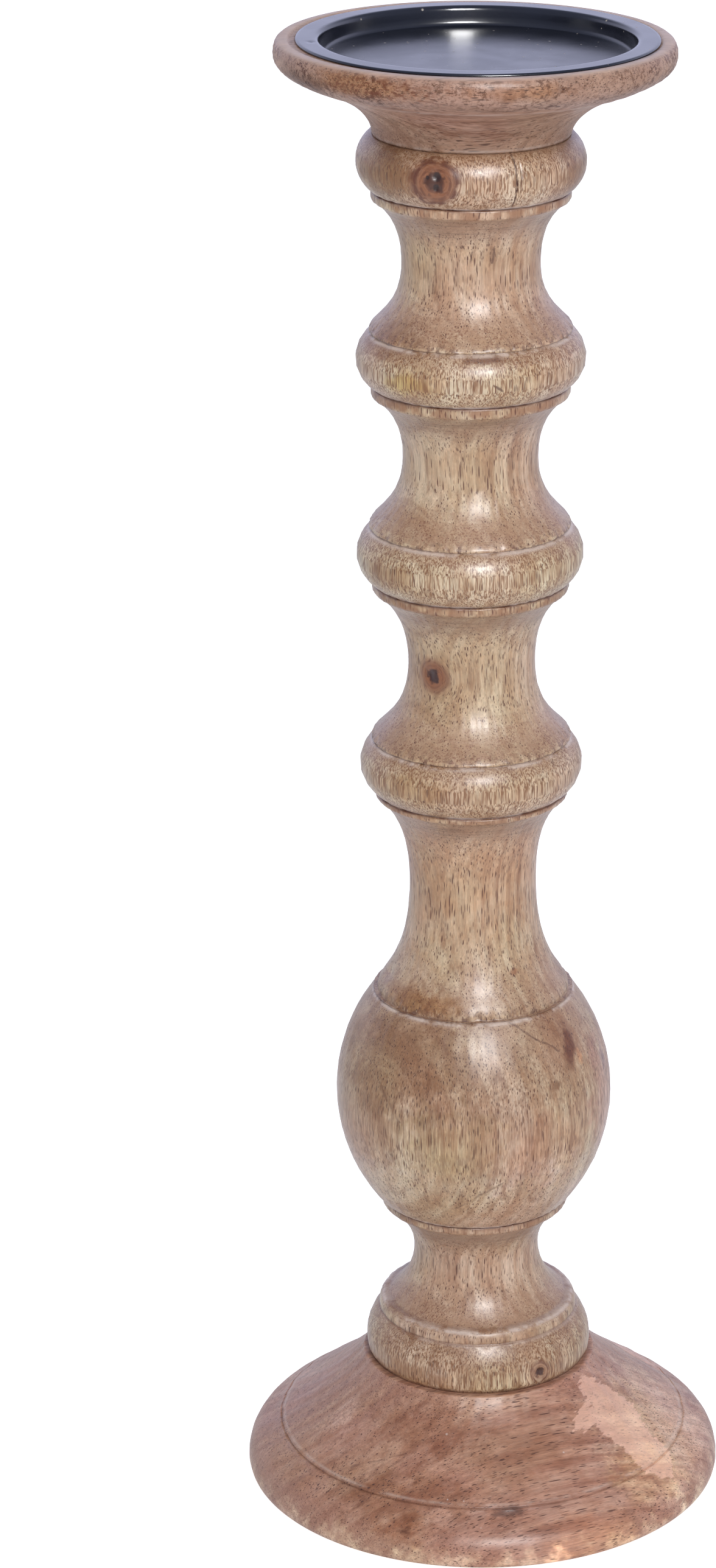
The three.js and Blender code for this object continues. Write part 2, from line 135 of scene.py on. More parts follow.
class Outline:
    """A profile drawn stretch by stretch, each from where the last one ended."""

    def __init__(self, r, z):
        self.stretches = [np.array([[r, z]])]

    def end(self):
        return self.stretches[-1][-1]

    def to(self, r, z, points=14):
        """Straight to a point, the rows closer together near both ends."""
        t = np.linspace(0, 1, points)
        t = t * t * (3 - 2 * t)
        self.stretches.append(np.outer(1 - t, self.end()) + np.outer(t, (r, z)))
        return self

    def bend(self, *controls, points=60):
        """Bezier curve: each control point weighed by its Bernstein polynomial."""
        t = np.linspace(0, 1, points)
        n = len(controls)
        weights = [math.comb(n, i) * t ** i * (1 - t) ** (n - i) for i in range(n + 1)]
        self.stretches.append(sum(np.outer(w, c) for w, c in zip(weights, (self.end(), *controls))))
        return self

    def swell(self, r, z, bulge, points=90):
        """Arc of a circle to a point, which stands out from its chord by bulge."""
        low_r, low_z = self.end()
        half = math.hypot(r - low_r, z - low_z) / 2
        arc_r = (half * half + bulge * bulge) / (2 * bulge)
        tilt = math.atan2(low_r - r, z - low_z)
        turn = tilt + np.linspace(-1, 1, points) * math.asin(half / arc_r)
        middle_r = (low_r + r) / 2 - (arc_r - bulge) * math.cos(tilt)
        middle_z = (low_z + z) / 2 - (arc_r - bulge) * math.sin(tilt)
        arc = [middle_r + arc_r * np.cos(turn), middle_z + arc_r * np.sin(turn)]
        self.stretches.append(np.stack(arc, axis=1))
        return self

    def points(self):
        return joined(*self.stretches)


def bell(distance, width):
    """One at distance nought, falling off as a bell curve of the given width."""
    return np.exp(-(distance / width) ** 2)


def shared_out(fine, seen, count, crowds):
    """count values of fine, closer where seen is near a crowd (centre, width, crowding): the density is one
    plus a bell for each crowd, and its running sum is cut into equal shares."""
    density = np.ones_like(fine)
    for centre, width, crowding in crowds:
        density += crowding * bell(seen - centre, width)
    share = np.concatenate([[0], np.cumsum((density[1:] + density[:-1]) / 2)])
    return np.interp(np.linspace(0, share[-1], count), share, fine)


def spaced(outline, count, crowds):
    """The outline with count rows, crowded at the heights that crowds gives."""
    length = np.concatenate([[0], np.cumsum(np.linalg.norm(np.diff(outline, axis=0), axis=1))])
    fine = np.linspace(0, length[-1], 20000)
    place = shared_out(fine, np.interp(fine, length, outline[:, 1]), count, crowds)
    return np.stack([np.interp(place, length, outline[:, axis]) for axis in (0, 1)], axis=1)


def looped(outline, count, crowds):
    """A spaced outline that closes on itself."""
    rows = spaced(outline, count, crowds)
    return np.vstack([rows, rows[:1]])


# Heights found while the column is drawn: grooves under the swellings, grooves where shoulders stand on
# them, the lips beside both, and each fillet's two ends
grooves, shoulders, lips, fillets = [], [], [], []


def column_stage(side, below_z, stage):
    """Shoulder, neck, hollow, fillet, groove and swelling above what ends at below_z; returns its end."""
    r, z = side.end()
    neck_z = below_z + stage["shoulder"]
    fillet_z = neck_z + stage["hollow"]
    swell_z = fillet_z + stage["fillet"]
    top_z = swell_z + stage["swelling"]
    fillet_r = stage["fillet_r"]
    neck_r, edge_r = fillet_r - stage["waist"], fillet_r - FILLET_ROUND
    low_r, top_r = (fillet_r + stage["step"] + end * stage["spread"] / 2 for end in (-1, 1))
    fillets.append((fillet_z, swell_z - GROOVE_HEIGHT))
    grooves.append(swell_z - GROOVE_HEIGHT / 2)
    lips.append(swell_z)
    r -= stage["ledge"]
    side.to(r, z, 2).bend((r, z + stage["round"]), (neck_r, z + stage["run"]), (neck_r, neck_z), points=90)
    side.bend((neck_r, fillet_z - 0.46 * (fillet_z - neck_z)),
              (edge_r - stage["pull"] * (edge_r - neck_r), fillet_z - 0.18 * (fillet_z - neck_z)),
              (edge_r, fillet_z), points=90)
    side.bend((fillet_r, fillet_z + 0.1), (fillet_r, fillet_z + FILLET_ROUND), points=12)
    side.to(fillet_r, swell_z - GROOVE_HEIGHT).to(fillet_r - GROOVE_DEPTH, grooves[-1], 6)
    side.to(low_r, swell_z, 6).swell(top_r, top_z, stage["bulge"])
    if stage is not STAGES[-1]:
        shoulders.append(top_z + GROOVE_HEIGHT / 2)
        lips.append(top_z)
        side.to(top_r - GROOVE_DEPTH, shoulders[-1], 6).to(top_r, top_z + GROOVE_HEIGHT, 6)
    return top_z


def column_outline():
    """The column from the axis, up its side and back to the axis, with its spigots and pilot holes."""
    bead_r, bead_top = FOOT_BEAD["r"], BASE_TOP + FOOT_BEAD["height"]
    ring_top = bead_top + FOOT_RING["height"]
    top_r = bead_r - FOOT_BEAD["lean"]
    ring_r = top_r - FOOT_RING["lean"]
    pull_r, pull_z = bead_r + FOOT_BEAD["bulge"], 0.36 * FOOT_BEAD["height"]
    shoulders.extend([bead_top + GROOVE_HEIGHT / 2, ring_top])
    lips.extend([bead_top, ring_top - 0.4])
    low_spigot_r, high_spigot_r, low_pilot, high_pilot = 12.0, 11.0, 55.8, 355.0
    side = Outline(0, low_pilot).to(HOLE_R, low_pilot - HOLE_R, 4).to(HOLE_R, SPIGOT_BOTTOM, 4)
    side.to(low_spigot_r, SPIGOT_BOTTOM, 4).to(low_spigot_r, BASE_TOP, 4).to(bead_r - 0.5, BASE_TOP, 4)
    side.bend((bead_r, BASE_TOP), (bead_r, BASE_TOP + 0.5), points=8)
    side.bend((pull_r, BASE_TOP + pull_z), (pull_r, bead_top - pull_z), (top_r, bead_top))
    side.to(top_r - GROOVE_DEPTH, bead_top + GROOVE_HEIGHT / 2, 6)
    side.to(top_r - GROOVE_DEPTH / 2, bead_top + GROOVE_HEIGHT, 6)
    side.bend((top_r - 0.8 * GROOVE_DEPTH, ring_top - 0.4 * FOOT_RING["height"]),
              (top_r - 1.6 * GROOVE_DEPTH, ring_top), (ring_r, ring_top), points=30)
    side.to(ring_r - 0.7 * GROOVE_DEPTH, ring_top + 0.1, 4)
    reached = ring_top
    for stage in STAGES:
        reached = column_stage(side, reached, stage)
    side.to(high_spigot_r, COLUMN_TOP, 4).to(high_spigot_r, SPIGOT_TOP, 4).to(HOLE_R, SPIGOT_TOP, 4)
    return side.to(HOLE_R, high_pilot + HOLE_R, 4).to(0, high_pilot, 4).points()


CREASE_INSET = 8.9
CREASE_DEPTH = 0.5
CREASE_Z = BASE_BOTTOM + 12.6
WIDEST_Z = BASE_BOTTOM + 0.6
FOOT_DROP = 0.4


def base_outline():
    """The base as a closed loop: counterbore, rounded edge, crease, cone, mortise and screw hole."""
    crease_r, top_r, foot_r = BASE_R - CREASE_INSET, FOOT_BEAD["r"] + 1.3, BASE_R - 0.2
    lip_r = crease_r - CREASE_DEPTH
    rise, cone_run, cone_rise = CREASE_Z - WIDEST_Z, crease_r - top_r, BASE_TOP - CREASE_Z
    recess_r, recess_z, mortise_r, mortise_z = 11.0, BASE_BOTTOM + 10, 12.3, BASE_TOP - 14.3
    loop = Outline(HOLE_R, recess_z).to(recess_r, recess_z, 8).to(recess_r, BASE_BOTTOM, 8)
    loop.to(foot_r - 4, BASE_BOTTOM, 28).to(foot_r - 0.6, BASE_BOTTOM - FOOT_DROP, 6)
    loop.bend((foot_r, BASE_BOTTOM - FOOT_DROP), (BASE_R, WIDEST_Z), points=16)
    loop.bend((BASE_R, WIDEST_Z + 0.64 * rise), (crease_r + 0.42 * CREASE_INSET, CREASE_Z - 0.31 * rise),
              (crease_r, CREASE_Z - 0.1), points=90)
    loop.to(lip_r, CREASE_Z - CREASE_DEPTH / 2, 6).to(lip_r, CREASE_Z + CREASE_DEPTH / 2, 6)
    loop.bend((crease_r - 0.42 * cone_run, CREASE_Z + 0.32 * cone_rise),
              (top_r + 0.08 * cone_run, BASE_TOP - 0.22 * cone_rise), (top_r, BASE_TOP), points=120)
    loop.to(mortise_r, BASE_TOP, 10).to(mortise_r, mortise_z, 8).to(HOLE_R, mortise_z, 8)
    return loop.to(HOLE_R, recess_z, 8).points()


RIM_Z = DISH_TOP - 9.2
RIM_R = DISH_R - 8.4
FLANGE_SUNK = 0.45
DISH_FOOT_R = 25.3


def dish_outline():
    """The dish as a closed loop: mortise, hollow underside, rounded rim, flat top and recess for the pan."""
    foot_r, run, rise = DISH_FOOT_R, RIM_R - DISH_FOOT_R, RIM_Z - COLUMN_TOP
    widest_z = DISH_TOP - 2.8
    rim_rise = widest_z - RIM_Z
    recess_r, floor_z = 43.1, PAN_BOTTOM - 1
    high, step_r = DISH_TOP + FLANGE_SUNK, PAN_R + PAN_SHIFT + 0.3
    washer_r, washer_z, mortise_r, mortise_z = 9.0, PAN_BOTTOM - 6, 11.3, PAN_BOTTOM - 10
    loop = Outline(HOLE_R, mortise_z).to(mortise_r, mortise_z, 6).to(mortise_r, COLUMN_TOP, 6)
    loop.to(foot_r - 0.3, COLUMN_TOP, 10).bend((foot_r, COLUMN_TOP), (foot_r, COLUMN_TOP + 0.3), points=6)
    loop.bend((foot_r + 0.02 * run, COLUMN_TOP + 0.37 * rise), (foot_r + 0.37 * run, RIM_Z - 0.25 * rise),
              (RIM_R, RIM_Z), points=110)
    loop.bend((RIM_R + 5, RIM_Z + 0.28 * rim_rise), (DISH_R, widest_z - 0.4 * rim_rise), (DISH_R, widest_z),
              points=70)
    loop.bend((DISH_R, high - 0.56), (DISH_R - 1.6, high), points=30)
    loop.to(step_r, high, 12).to(step_r - 0.1, DISH_TOP, 4).to(recess_r + 0.3, DISH_TOP, 12)
    loop.to(recess_r, DISH_TOP - 0.3, 4).to(recess_r, floor_z, 12).to(washer_r, floor_z, 24)
    return loop.to(washer_r, washer_z, 8).to(HOLE_R, washer_z, 6).to(HOLE_R, mortise_z, 6).points()


PAN_SHEET = 0.8


def pan_side(offset):
    """One side of the pressed sheet from the flange's edge in; offset is how far it lies outside."""
    mouth_r, floor_r = 39.95 + offset, 39.3 + offset
    top_z, floor_z = PAN_TOP - offset, PAN_BOTTOM + PAN_SHEET - offset
    bend_z, foot_z = top_z - 1.25 + 0.5 * offset, floor_z + 0.8 + 0.4 * offset
    side = Outline(PAN_R - 0.2, top_z).to(mouth_r + 1.1, top_z, 20)
    side.bend((mouth_r, top_z), (mouth_r - 0.15, bend_z), points=20).to(floor_r + 0.15, foot_z, 16)
    return side.bend((floor_r, floor_z), (floor_r - 1.1, floor_z), points=20).to(0, floor_z, 60).points()


def pan_outline():
    """The pan's underside from the axis out, the flange's edge, and its top back to the axis."""
    under, top = pan_side(PAN_SHEET)[::-1], pan_side(0.0)
    edge = Outline(*under[-1]).bend((PAN_R, under[-1][1]), (PAN_R, top[0][1]), top[0], points=12)
    return joined(under, edge.points(), top)


# Turned meshes

def ripple(seed, turns, waves):
    """An uneven value of about one: waves of random height, count and phase round the turn."""
    source = np.random.default_rng(seed)
    total = np.zeros_like(turns)
    for _ in range(waves):
        count = source.integers(2, 60)
        total += source.normal() * np.sin(np.radians(turns) * count + source.uniform(0, 2 * math.pi))
    return total / math.sqrt(waves / 2)


def around_gap(turns, centre, r):
    """Distance in millimetres round the surface from a turn."""
    return np.radians((turns - centre + 180) % 360 - 180) * r


def scatter(seed, count, turns, heights, middle, spread, size):
    """Pits of about the given size at random turns, spread above the middle: 0 to 1 deep."""
    source = np.random.default_rng(seed)
    radius = 27.0
    deepest = np.zeros(np.broadcast(turns, heights).shape)
    for _ in range(count):
        turn = source.uniform(-180, 180)
        height = middle + spread * abs(source.normal())
        wide = size * source.uniform(0.5, 1.3)
        pit = bell(around_gap(turns, turn, radius), wide) * bell(heights - height, 0.8 * wide)
        deepest = np.maximum(deepest, pit)
    return deepest


def link_mesh(name, corners, faces, marks):
    """A new object from corners in millimetres, with float attributes, its faces outwards."""
    corners = corners * MM
    a, b, c, d = (corners[[face[i] for face in faces]] for i in (0, 1, 2, -1))
    if np.sum(a * np.cross(b, c)) + np.sum(a * np.cross(c, d)) < 0:
        faces = [face[::-1] for face in faces]
    mesh = bpy.data.meshes.new(name)
    mesh.from_pydata(corners, [], faces)
    mesh.polygons.foreach_set("use_smooth", np.ones(len(faces), dtype=bool))
    for mark, values in marks.items():
        attribute = mesh.attributes.new(mark, "FLOAT", "POINT")
        attribute.data.foreach_set("value", values.astype(np.float32).ravel())
    mesh.update()
    return link(name, mesh)


def link(name, data):
    """A new object in the scene that shows a mesh, a lamp or a camera."""
    made = bpy.data.objects.new(name, data)
    bpy.context.scene.collection.objects.link(made)
    return made


def turned(name, outline, turns, carve=None, mark=None, middle=(0, 0)):
    """A solid of revolution: x = r sin(turn), y = -r cos(turn), z from the outline, which starts and ends on
    the axis or closes on itself. turns is the number of columns, or their turns. carve(r, z, turn) gives r
    and z with the details cut in, and mark(r, z, turn) the attributes, on the whole grid at once."""
    if isinstance(turns, int):
        turns = np.linspace(-180, 180, turns + 1)
    on_axis = abs(outline[0, 0]) < 1e-9
    rows = outline[1:-1] if on_axis else outline[:-1]
    r, turn = np.meshgrid(rows[:, 0], turns[:-1], indexing="ij")
    z = np.meshgrid(rows[:, 1], turns[:-1], indexing="ij")[0]
    if carve:
        r, z = carve(r, z, turn)
    angle = np.radians(turn)
    grid = np.stack([r * np.sin(angle) + middle[0], middle[1] - r * np.cos(angle), z], axis=-1)
    corners = as_made(grid).reshape(-1, 3)
    marks = {key: value.ravel() for key, value in mark(r, z, turn).items()} if mark else {}
    n, m = r.shape
    index = np.arange(n * m).reshape(n, m)
    around = np.roll(index, -1, axis=1)
    low = np.arange(n - 1 if on_axis else n)
    high = (low + 1) % n
    faces = np.stack([index[low], around[low], around[high], index[high]], axis=-1).reshape(-1, 4).tolist()
    if on_axis:
        poles = np.array([(*middle, outline[0, 1]), (*middle, outline[-1, 1])])
        corners = np.vstack([corners, as_made(poles)])
        marks = {key: np.concatenate([value, [0, 0]]) for key, value in marks.items()}
        faces += [(around[0, i], index[0, i], n * m) for i in range(m)]
        faces += [(index[-1, i], around[-1, i], n * m + 1) for i in range(m)]
    return link_mesh(name, corners, faces, marks)


# The column's own faults, at (turn, height); a crack is a bent line through turns and heights
TOP_KNOT = (-20.6, 369.6)
TOP_KNOT_HOLES = [(-19.1, 371.2, 1.0, 1.1), (-19.6, 368.2, 1.2, 0.9), (-24.2, 370.8, 0.5, 0.5)]
NECK_KNOT = (-44.5, 236.0)
FOOT_KNOT = (31.7, 39.8)
CRACK_TURNS = [20.0, 20.6, 21.3, 20.8, 20.8, 20.2, 19.6]
CRACK_HEIGHTS = [362.2, 365.2, 368.5, 371.1, 373.9, 375.6, 377.5]
CRACK_END = 362.6
BRANCH_TURNS = [22.9, 23.6, 23.2]
BRANCH_HEIGHTS = [368.2, 371.5, 374.0]
BEAD_CRACK_TURNS = [37, 41, 46, 49]
BEAD_CRACK_HEIGHTS = [212.6, 212.2, 212.8, 213.4]
NECK_SCAR = (-10.0, 287.6)
CHIP = (-80.0, 148.5)


def rising(x):
    """A smooth step from nought, where x is well under nought, to one."""
    return 1 / (1 + np.exp(-np.clip(x, -40, 40)))


def between(x, low, high, sharp, sharp_high=None):
    """One from low to high, nought beside it."""
    return rising((x - low) * sharp) * rising((high - x) * (sharp_high or sharp))


def crack_depth(r, z, turn):
    """The top bead's crack and its branch, 0 to 1: a narrow V along two bent lines."""
    main = around_gap(turn, np.interp(z, CRACK_HEIGHTS, CRACK_TURNS), r)
    side = around_gap(turn, np.interp(z, BRANCH_HEIGHTS, BRANCH_TURNS), r)
    branch = between(z, BRANCH_HEIGHTS[0], BRANCH_HEIGHTS[-1], 3)
    wide = (0.17 + 0.14 * bell(z - CRACK_HEIGHTS[2], 2)) * (1 + 0.25 * np.sin(3.1 * z))
    return np.maximum(bell(main, wide) * rising((z - CRACK_END) * 4), 0.6 * bell(side, 0.2) * branch)


def bead_crack_depth(z, turn):
    """A level hair crack along the top of the fourth bead, 0 to 1."""
    height = np.interp(turn, BEAD_CRACK_TURNS, BEAD_CRACK_HEIGHTS)
    return bell(z - height, 0.28) * between(turn, BEAD_CRACK_TURNS[0], BEAD_CRACK_TURNS[-1], 2)


def on_fillet(z, low, high):
    """One from low to high, with a softer edge below than above."""
    return between(z, low, high, 5, 8)


def carve_column(r, z, turn):
    """Uneven lips, nicked fillets, torn shoulders, knot holes, cracks and a chip."""
    turn = seen_turn(r, z, turn)
    outside = (z > BASE_TOP + 0.2) & (z < COLUMN_TOP - 0.05) & (r > INSIDE_R)

    def gap(fault):
        return around_gap(turn, fault[0], r)

    def far(fault):
        return np.hypot(gap(fault), z - fault[1])

    cut = 0.03 * ripple(3, turn + 3 * z, 10)
    for i, height in enumerate(lips):
        cut += 0.07 * ripple(20 + i, turn, 30) * bell(z - height, 0.5)
    for i, height in enumerate(grooves):
        cut += 0.1 * (1 + ripple(40 + i, turn, 30)) * bell(z - height, 0.35)
    for i, height in enumerate(shoulders[2:]):
        cut += 0.1 * (1 + ripple(50 + i, turn, 30)) * bell(z - height, 0.35)
        cut += 0.4 * scatter(60 + i, 70, turn, z, height + 0.9, 0.7, 0.75)
    for i, (low, high) in enumerate(fillets):
        nicks = np.clip(ripple(80 + i, turn * 5, 40) - 0.5, 0, 1.5)
        cut += 0.1 * on_fillet(z, low, high) * nicks
    for hole_turn, height, depth, wide in TOP_KNOT_HOLES:
        cut += 0.7 * depth * bell(around_gap(turn, hole_turn, r), wide) * bell(z - height, 1.15 * wide)
    cut += 0.12 * bell(far(TOP_KNOT), 3.2) - 0.12 * bell(far(TOP_KNOT) - 4.6, 1.2)
    cut += 0.5 * bell(far(NECK_KNOT), 1.0) - 0.1 * bell(far(NECK_KNOT) - 2.6, 1.0)
    cut += 0.9 * bell(far(FOOT_KNOT), 1.15)
    cut += 0.22 * scatter(90, 260, turn, z, NECK_SCAR[1] - 1, 1.0, 0.6) * bell(gap(NECK_SCAR), 11)
    cut += 0.6 * bell(gap(CHIP), 2.5) * bell(z - CHIP[1], 1.6)
    cut += 0.55 * crack_depth(r, z, turn) + 0.3 * bead_crack_depth(z, turn)
    return r - np.where(outside, cut, 0), z


def mark_column(r, z, turn):
    """Where the finish and the painted light change, each 0 to 1. groove is painted shade with some grime in
    the grooves and round the column's foot; lip is a painted highlight with some dust along each lip. tool is
    the clean stretch of each hollow under its fillet.
    """
    turn = seen_turn(r, z, turn)
    bead_tops = shoulders[3:] + [COLUMN_TOP]
    marks = {
        "groove": sum(bell(z - height, 0.5) for height in grooves) + 0.6 * bell(z - BASE_TOP, 0.4)
        + 0.45 * sum(bell(z - height, 0.3) for height in shoulders),
        "lip": sum((0.35 if height < 50 else 1) * bell(z - height, 0.42) for height in lips),
        "fillet": sum(on_fillet(z, low, high) for low, high in fillets),
        "torn": sum(bell(np.maximum(z - height, 0), 2) * (z > height) for height in shoulders[2:]),
        "crack": np.maximum(crack_depth(r, z, turn), bead_crack_depth(z, turn)),
        "tool": sum(bell(z - low + 3, 3.4) * (z < low) for low, _ in fillets),
        "bead": sum(on_fillet(z, fillet_top, top) for (_, fillet_top), top in zip(fillets[1:], bead_tops))
        + on_fillet(z, BASE_TOP, lips[0]),
    }
    return {key: value * (r > INSIDE_R) for key, value in marks.items()}


column_profile = column_outline()
column_side = column_profile[(column_profile[:, 0] > INSIDE_R) & (column_profile[:, 1] > BASE_TOP)]
column_side = column_side[np.argsort(column_side[:, 1], kind="stable")]
rows = [(height, 1.0, 12) for height in grooves + shoulders]
rows += [((low + high) / 2, 1.6, 4) for low, high in fillets]
rows += [(TOP_KNOT[1], 4.0, 3), (CRACK_HEIGHTS[3], 8.0, 1.5), (NECK_KNOT[1], 3.0, 3), (FOOT_KNOT[1], 2.5, 4)]
rows += [(NECK_SCAR[1], 2.0, 3), (CHIP[1], 2.0, 3)]
columns = [(TOP_KNOT[0], 9, 1.6), (23.5, 3.2, 7), (FOOT_KNOT[0] + 2, 5, 2.5), (NECK_KNOT[0], 9, 1.0)]
all_round = np.linspace(-180, 180, 20000)
column = turned("column_wood", spaced(column_profile, COLUMN_GRID[0], rows),
                shared_out(all_round, all_round, COLUMN_GRID[1] + 1, columns), carve_column, mark_column)

# The base's small pit, at (turn, height), and its pale sapwood in plan (x right, y away from the viewer)
BASE_PIT = (-20.0, 9.5)
SAPWOOD = np.array([
    (28.2, -15.8), (34.6, -13), (41.2, -13), (44.9, -18.8), (49.4, -22.5), (58.5, -27.5), (62, -30.5),
    (57.5, -36.5), (50.5, -41), (44.9, -35.5), (38.7, -30.9), (31.7, -28), (24.7, -32.8), (26, -27),
    (29.7, -22.5), (27.1, -19.9),
])


def inside_distance(x, y, outline):
    """Signed distance to a closed outline, positive inside: the nearest side, and a crossing count."""
    nearest = np.full(x.shape, np.inf)
    inside = np.zeros(x.shape, dtype=bool)
    for (ax, ay), (bx, by) in zip(outline, np.roll(outline, -1, axis=0)):
        run, rise = bx - ax, by - ay
        share = np.clip(((x - ax) * run + (y - ay) * rise) / (run * run + rise * rise), 0, 1)
        nearest = np.minimum(nearest, np.hypot(x - ax - share * run, y - ay - share * rise))
        crosses = (ay > y) != (by > y)
        inside ^= crosses & (x < ax + run * (y - ay) / (rise if rise else 1e-9))
    return np.where(inside, nearest, -nearest)


def carve_base(r, z, turn):
    """Uneven crease, worn edge, faint tool rings and a small pit."""
    outside = (z > BASE_BOTTOM + 1) & (r > 31)
    crease = np.hypot(r - BASE_R + CREASE_INSET + 0.4, z - CREASE_Z)
    cut = 0.12 * (0.4 + ripple(5, turn, 30)) * bell(crease, 0.9)
    cut += 0.05 * ripple(6, turn + 0.6 * r, 12)
    cut += 0.02 * np.sin(r * 2.1 + 0.6 * ripple(8, turn, 8))
    cut += 0.6 * bell(around_gap(turn, BASE_PIT[0], r), 1.2) * bell(z - BASE_PIT[1], 0.8)
    cut = np.where(outside, cut, 0)
    return r - 0.6 * cut, z - 0.8 * cut * (r < BASE_R - 3)


def mark_base(r, z, turn):
    """Painted shade with some grime in the crease and round the column's foot, a painted highlight with some
    dust on the crease's upper lip, and the sapwood as a distance.
    """
    x, y = r * np.sin(np.radians(turn)), -r * np.cos(np.radians(turn))
    crease = np.hypot(r - BASE_R + CREASE_INSET + CREASE_DEPTH, z - CREASE_Z)
    foot = bell(r - FOOT_BEAD["r"] - 0.2, 0.5) * (z > BASE_TOP - 4)
    sapwood = inside_distance(x, y, SAPWOOD) - 1.5 * np.clip(r - 56.5, 0, 8)
    return {"groove": 0.25 * bell(crease, 0.6) + 0.4 * foot,
            "lip": 0.4 * bell(crease - 1, 0.4) * (z > CREASE_Z),
            "sapwood": np.where(z > BASE_BOTTOM + 1, sapwood, -9)}


def carve_dish(r, z, turn):
    """A soft edge under the rim, pitted end grain and a few dents."""
    cut = 0.05 * ripple(11, turn + 4 * z, 12)
    end_grain = np.abs(np.sin(np.radians(turn))) ** 2
    cut += 0.25 * scatter(12, 420, turn, z, DISH_TOP - 8, 3.2, 0.5) * (0.25 + end_grain)
    cut += 0.12 * ripple(13, turn, 24) * bell(z - RIM_Z, 0.8)
    return r - np.where((r > 24) & (z < DISH_TOP - 0.2), cut, 0), z


def mark_dish(r, z, turn):
    """Painted shade with some grime in the foot groove and by the flange, painted highlights with some dust
    on the lips, the dark patch by the flange, the rim, and its top, which the dish's material paints paler.
    """
    top = z > DISH_TOP - 0.6
    lip = 0.5 * bell(z - RIM_Z, 0.5) * (r > 40) + 0.6 * bell(z - COLUMN_TOP - 0.6, 0.4) * (r > 24)
    return {"groove": 0.12 * bell(z - COLUMN_TOP, 0.4) * (r > 24) + 0.3 * bell(r - PAN_R, 0.35) * top,
            "lip": lip, "residue": bell(around_gap(turn, 67, 46.6), 9) * bell(r - 46.9, 0.7) * top,
            "rim": rising((z - RIM_Z - 0.5) * 2) * (r > PAN_R) * (z < DISH_TOP + 0.1),
            "top": rising((z - DISH_TOP - 0.1) * 8) * (r > PAN_R)}


def press_pan(r, z, turn):
    """A flange that is not quite flat, with one small dent."""
    angle = np.radians(turn)
    wave = 0.05 * np.sin(3 * angle + 0.6) + 0.03 * np.sin(7 * angle + 2)
    dent = 0.25 * bell(around_gap(turn, -79.6, r), 1.1) * bell(r - 42.3, 0.6)
    settle = np.clip(wave, None, 0) * np.clip((r - 41.5) / 4, 0, 1)
    return r, z + np.where(z > PAN_TOP - 0.2, settle - dent, 0)


base = turned("base_wood", looped(base_outline(), BASE_GRID[0], [(CREASE_Z, 1.2, 6), (BASE_TOP, 0.6, 2)]),
              BASE_GRID[1], carve_base, mark_base)
dish = turned("dish_wood", looped(dish_outline(), DISH_GRID[0], [(RIM_Z, 1.0, 1), (COLUMN_TOP, 0.6, 1)]),
              DISH_GRID[1], carve_dish, mark_dish)
pan_bends = [(PAN_TOP - 0.9, 1.0, 3), (PAN_BOTTOM + 1.2, 0.7, 2)]
drip_pan = turned("drip_pan_coated", spaced(pan_outline(), PAN_GRID[0], pan_bends),
                  PAN_GRID[1], press_pan, middle=(PAN_SHIFT, 0))


# Washers, screws and felt pads

def washer(node):
    """A plain washer in the place of its node, its four edges rounded."""
    inner, edge = HOLE_R, 0.2
    outer, low, high = node_span(node)
    loop = Outline(inner, low + edge).to(inner + edge, low, 4).to(outer - edge, low, 6)
    loop.bend((outer, low), (outer, low + edge), points=6).to(outer, high - edge, 3)
    loop.bend((outer, high), (outer - edge, high), points=6).to(inner + edge, high, 6)
    loop.to(inner, high - edge, 4).to(inner, low + edge, 3)
    return turned(node + "_zinc", loop.points(), 72)


def screw(node, head_up):
    """A round-head wood screw in the place of its node: along the shank the radius is the core's plus a sharp
    wave of height over pitch plus the turn, one helix; over the head the height is a crown less a cross."""
    head_r, low, high = node_span(node)
    crown, pitch, thread, core, tip = 2.8, 3.0, 0.55, 1.7, 3.0
    shank = high - low - crown
    down = np.linspace(0, 1, 16)
    top = np.stack([head_r * 0.96 * down, crown * (1 - 0.62 * down ** 2.6)], axis=1)
    side = Outline(*top[-1]).bend((head_r, 0.3 * crown), (head_r, 0.05), points=8).to(core, 0, 6)
    body = np.stack([np.full(240, core), np.linspace(0, tip - shank, 240)], axis=1)
    outline = joined(top, side.points(), body, Outline(*body[-1]).to(0, -shank, 24).points())

    def carve(r, z, turn):
        angle = np.radians(turn)
        phase = (z / pitch + turn / 360) % 1
        ridge = np.clip(1 - np.abs(phase - 0.5) * 4.2, 0, 1)
        along = (z < -tip) & (r > 0.2)
        wide = r + np.where(along, thread * ridge * np.clip((z + shank) / tip, 0, 1), 0)
        x, y = np.abs(r * np.sin(angle)), np.abs(r * np.cos(angle))
        slot = rising((0.5 - np.minimum(x, y)) * 14) * rising((2.4 - np.maximum(x, y)) * 9)
        return wide, z - np.where(z > 0.4 * crown, 1.5 * slot, 0)

    piece = turned(node + "_zinc", outline, 96, carve)
    corners = np.empty(3 * len(piece.data.vertices))
    piece.data.vertices.foreach_get("co", corners)
    points = corners.reshape(-1, 3)
    if head_up:
        points[:, 2] += (high - crown) * MM
    else:
        points[:, 1:] *= -1
        points[:, 2] += (low + crown) * MM
    piece.data.vertices.foreach_set("co", (as_made(points / MM) * MM).ravel())
    piece.data.update()
    return piece


def felt_pad(node):
    """A felt pad in the place of its node, its side fuzzy."""
    low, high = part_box(node)
    middle = ((low.x + high.x) / 2 / MM, (low.y + high.y) / 2 / MM)
    outer, bottom, top = node_span(node)
    side = Outline(0, bottom).to(outer - 0.5, bottom).bend((outer, bottom), (outer, bottom + 0.6), points=8)
    side.to(outer, top - 0.3, 6).bend((outer, top), (outer - 0.3, top), points=5).to(0, top, 10)

    def fuzz(r, z, turn):
        share = np.clip(r - outer + 1, 0, 1)
        return r - share * (0.1 + 0.06 * ripple(31, turn * 2 + 40 * z, 40)).clip(0.01, 0.4), z

    return turned(node + "_felt", side.points(), 120, fuzz, middle=middle)


# Shader nodes

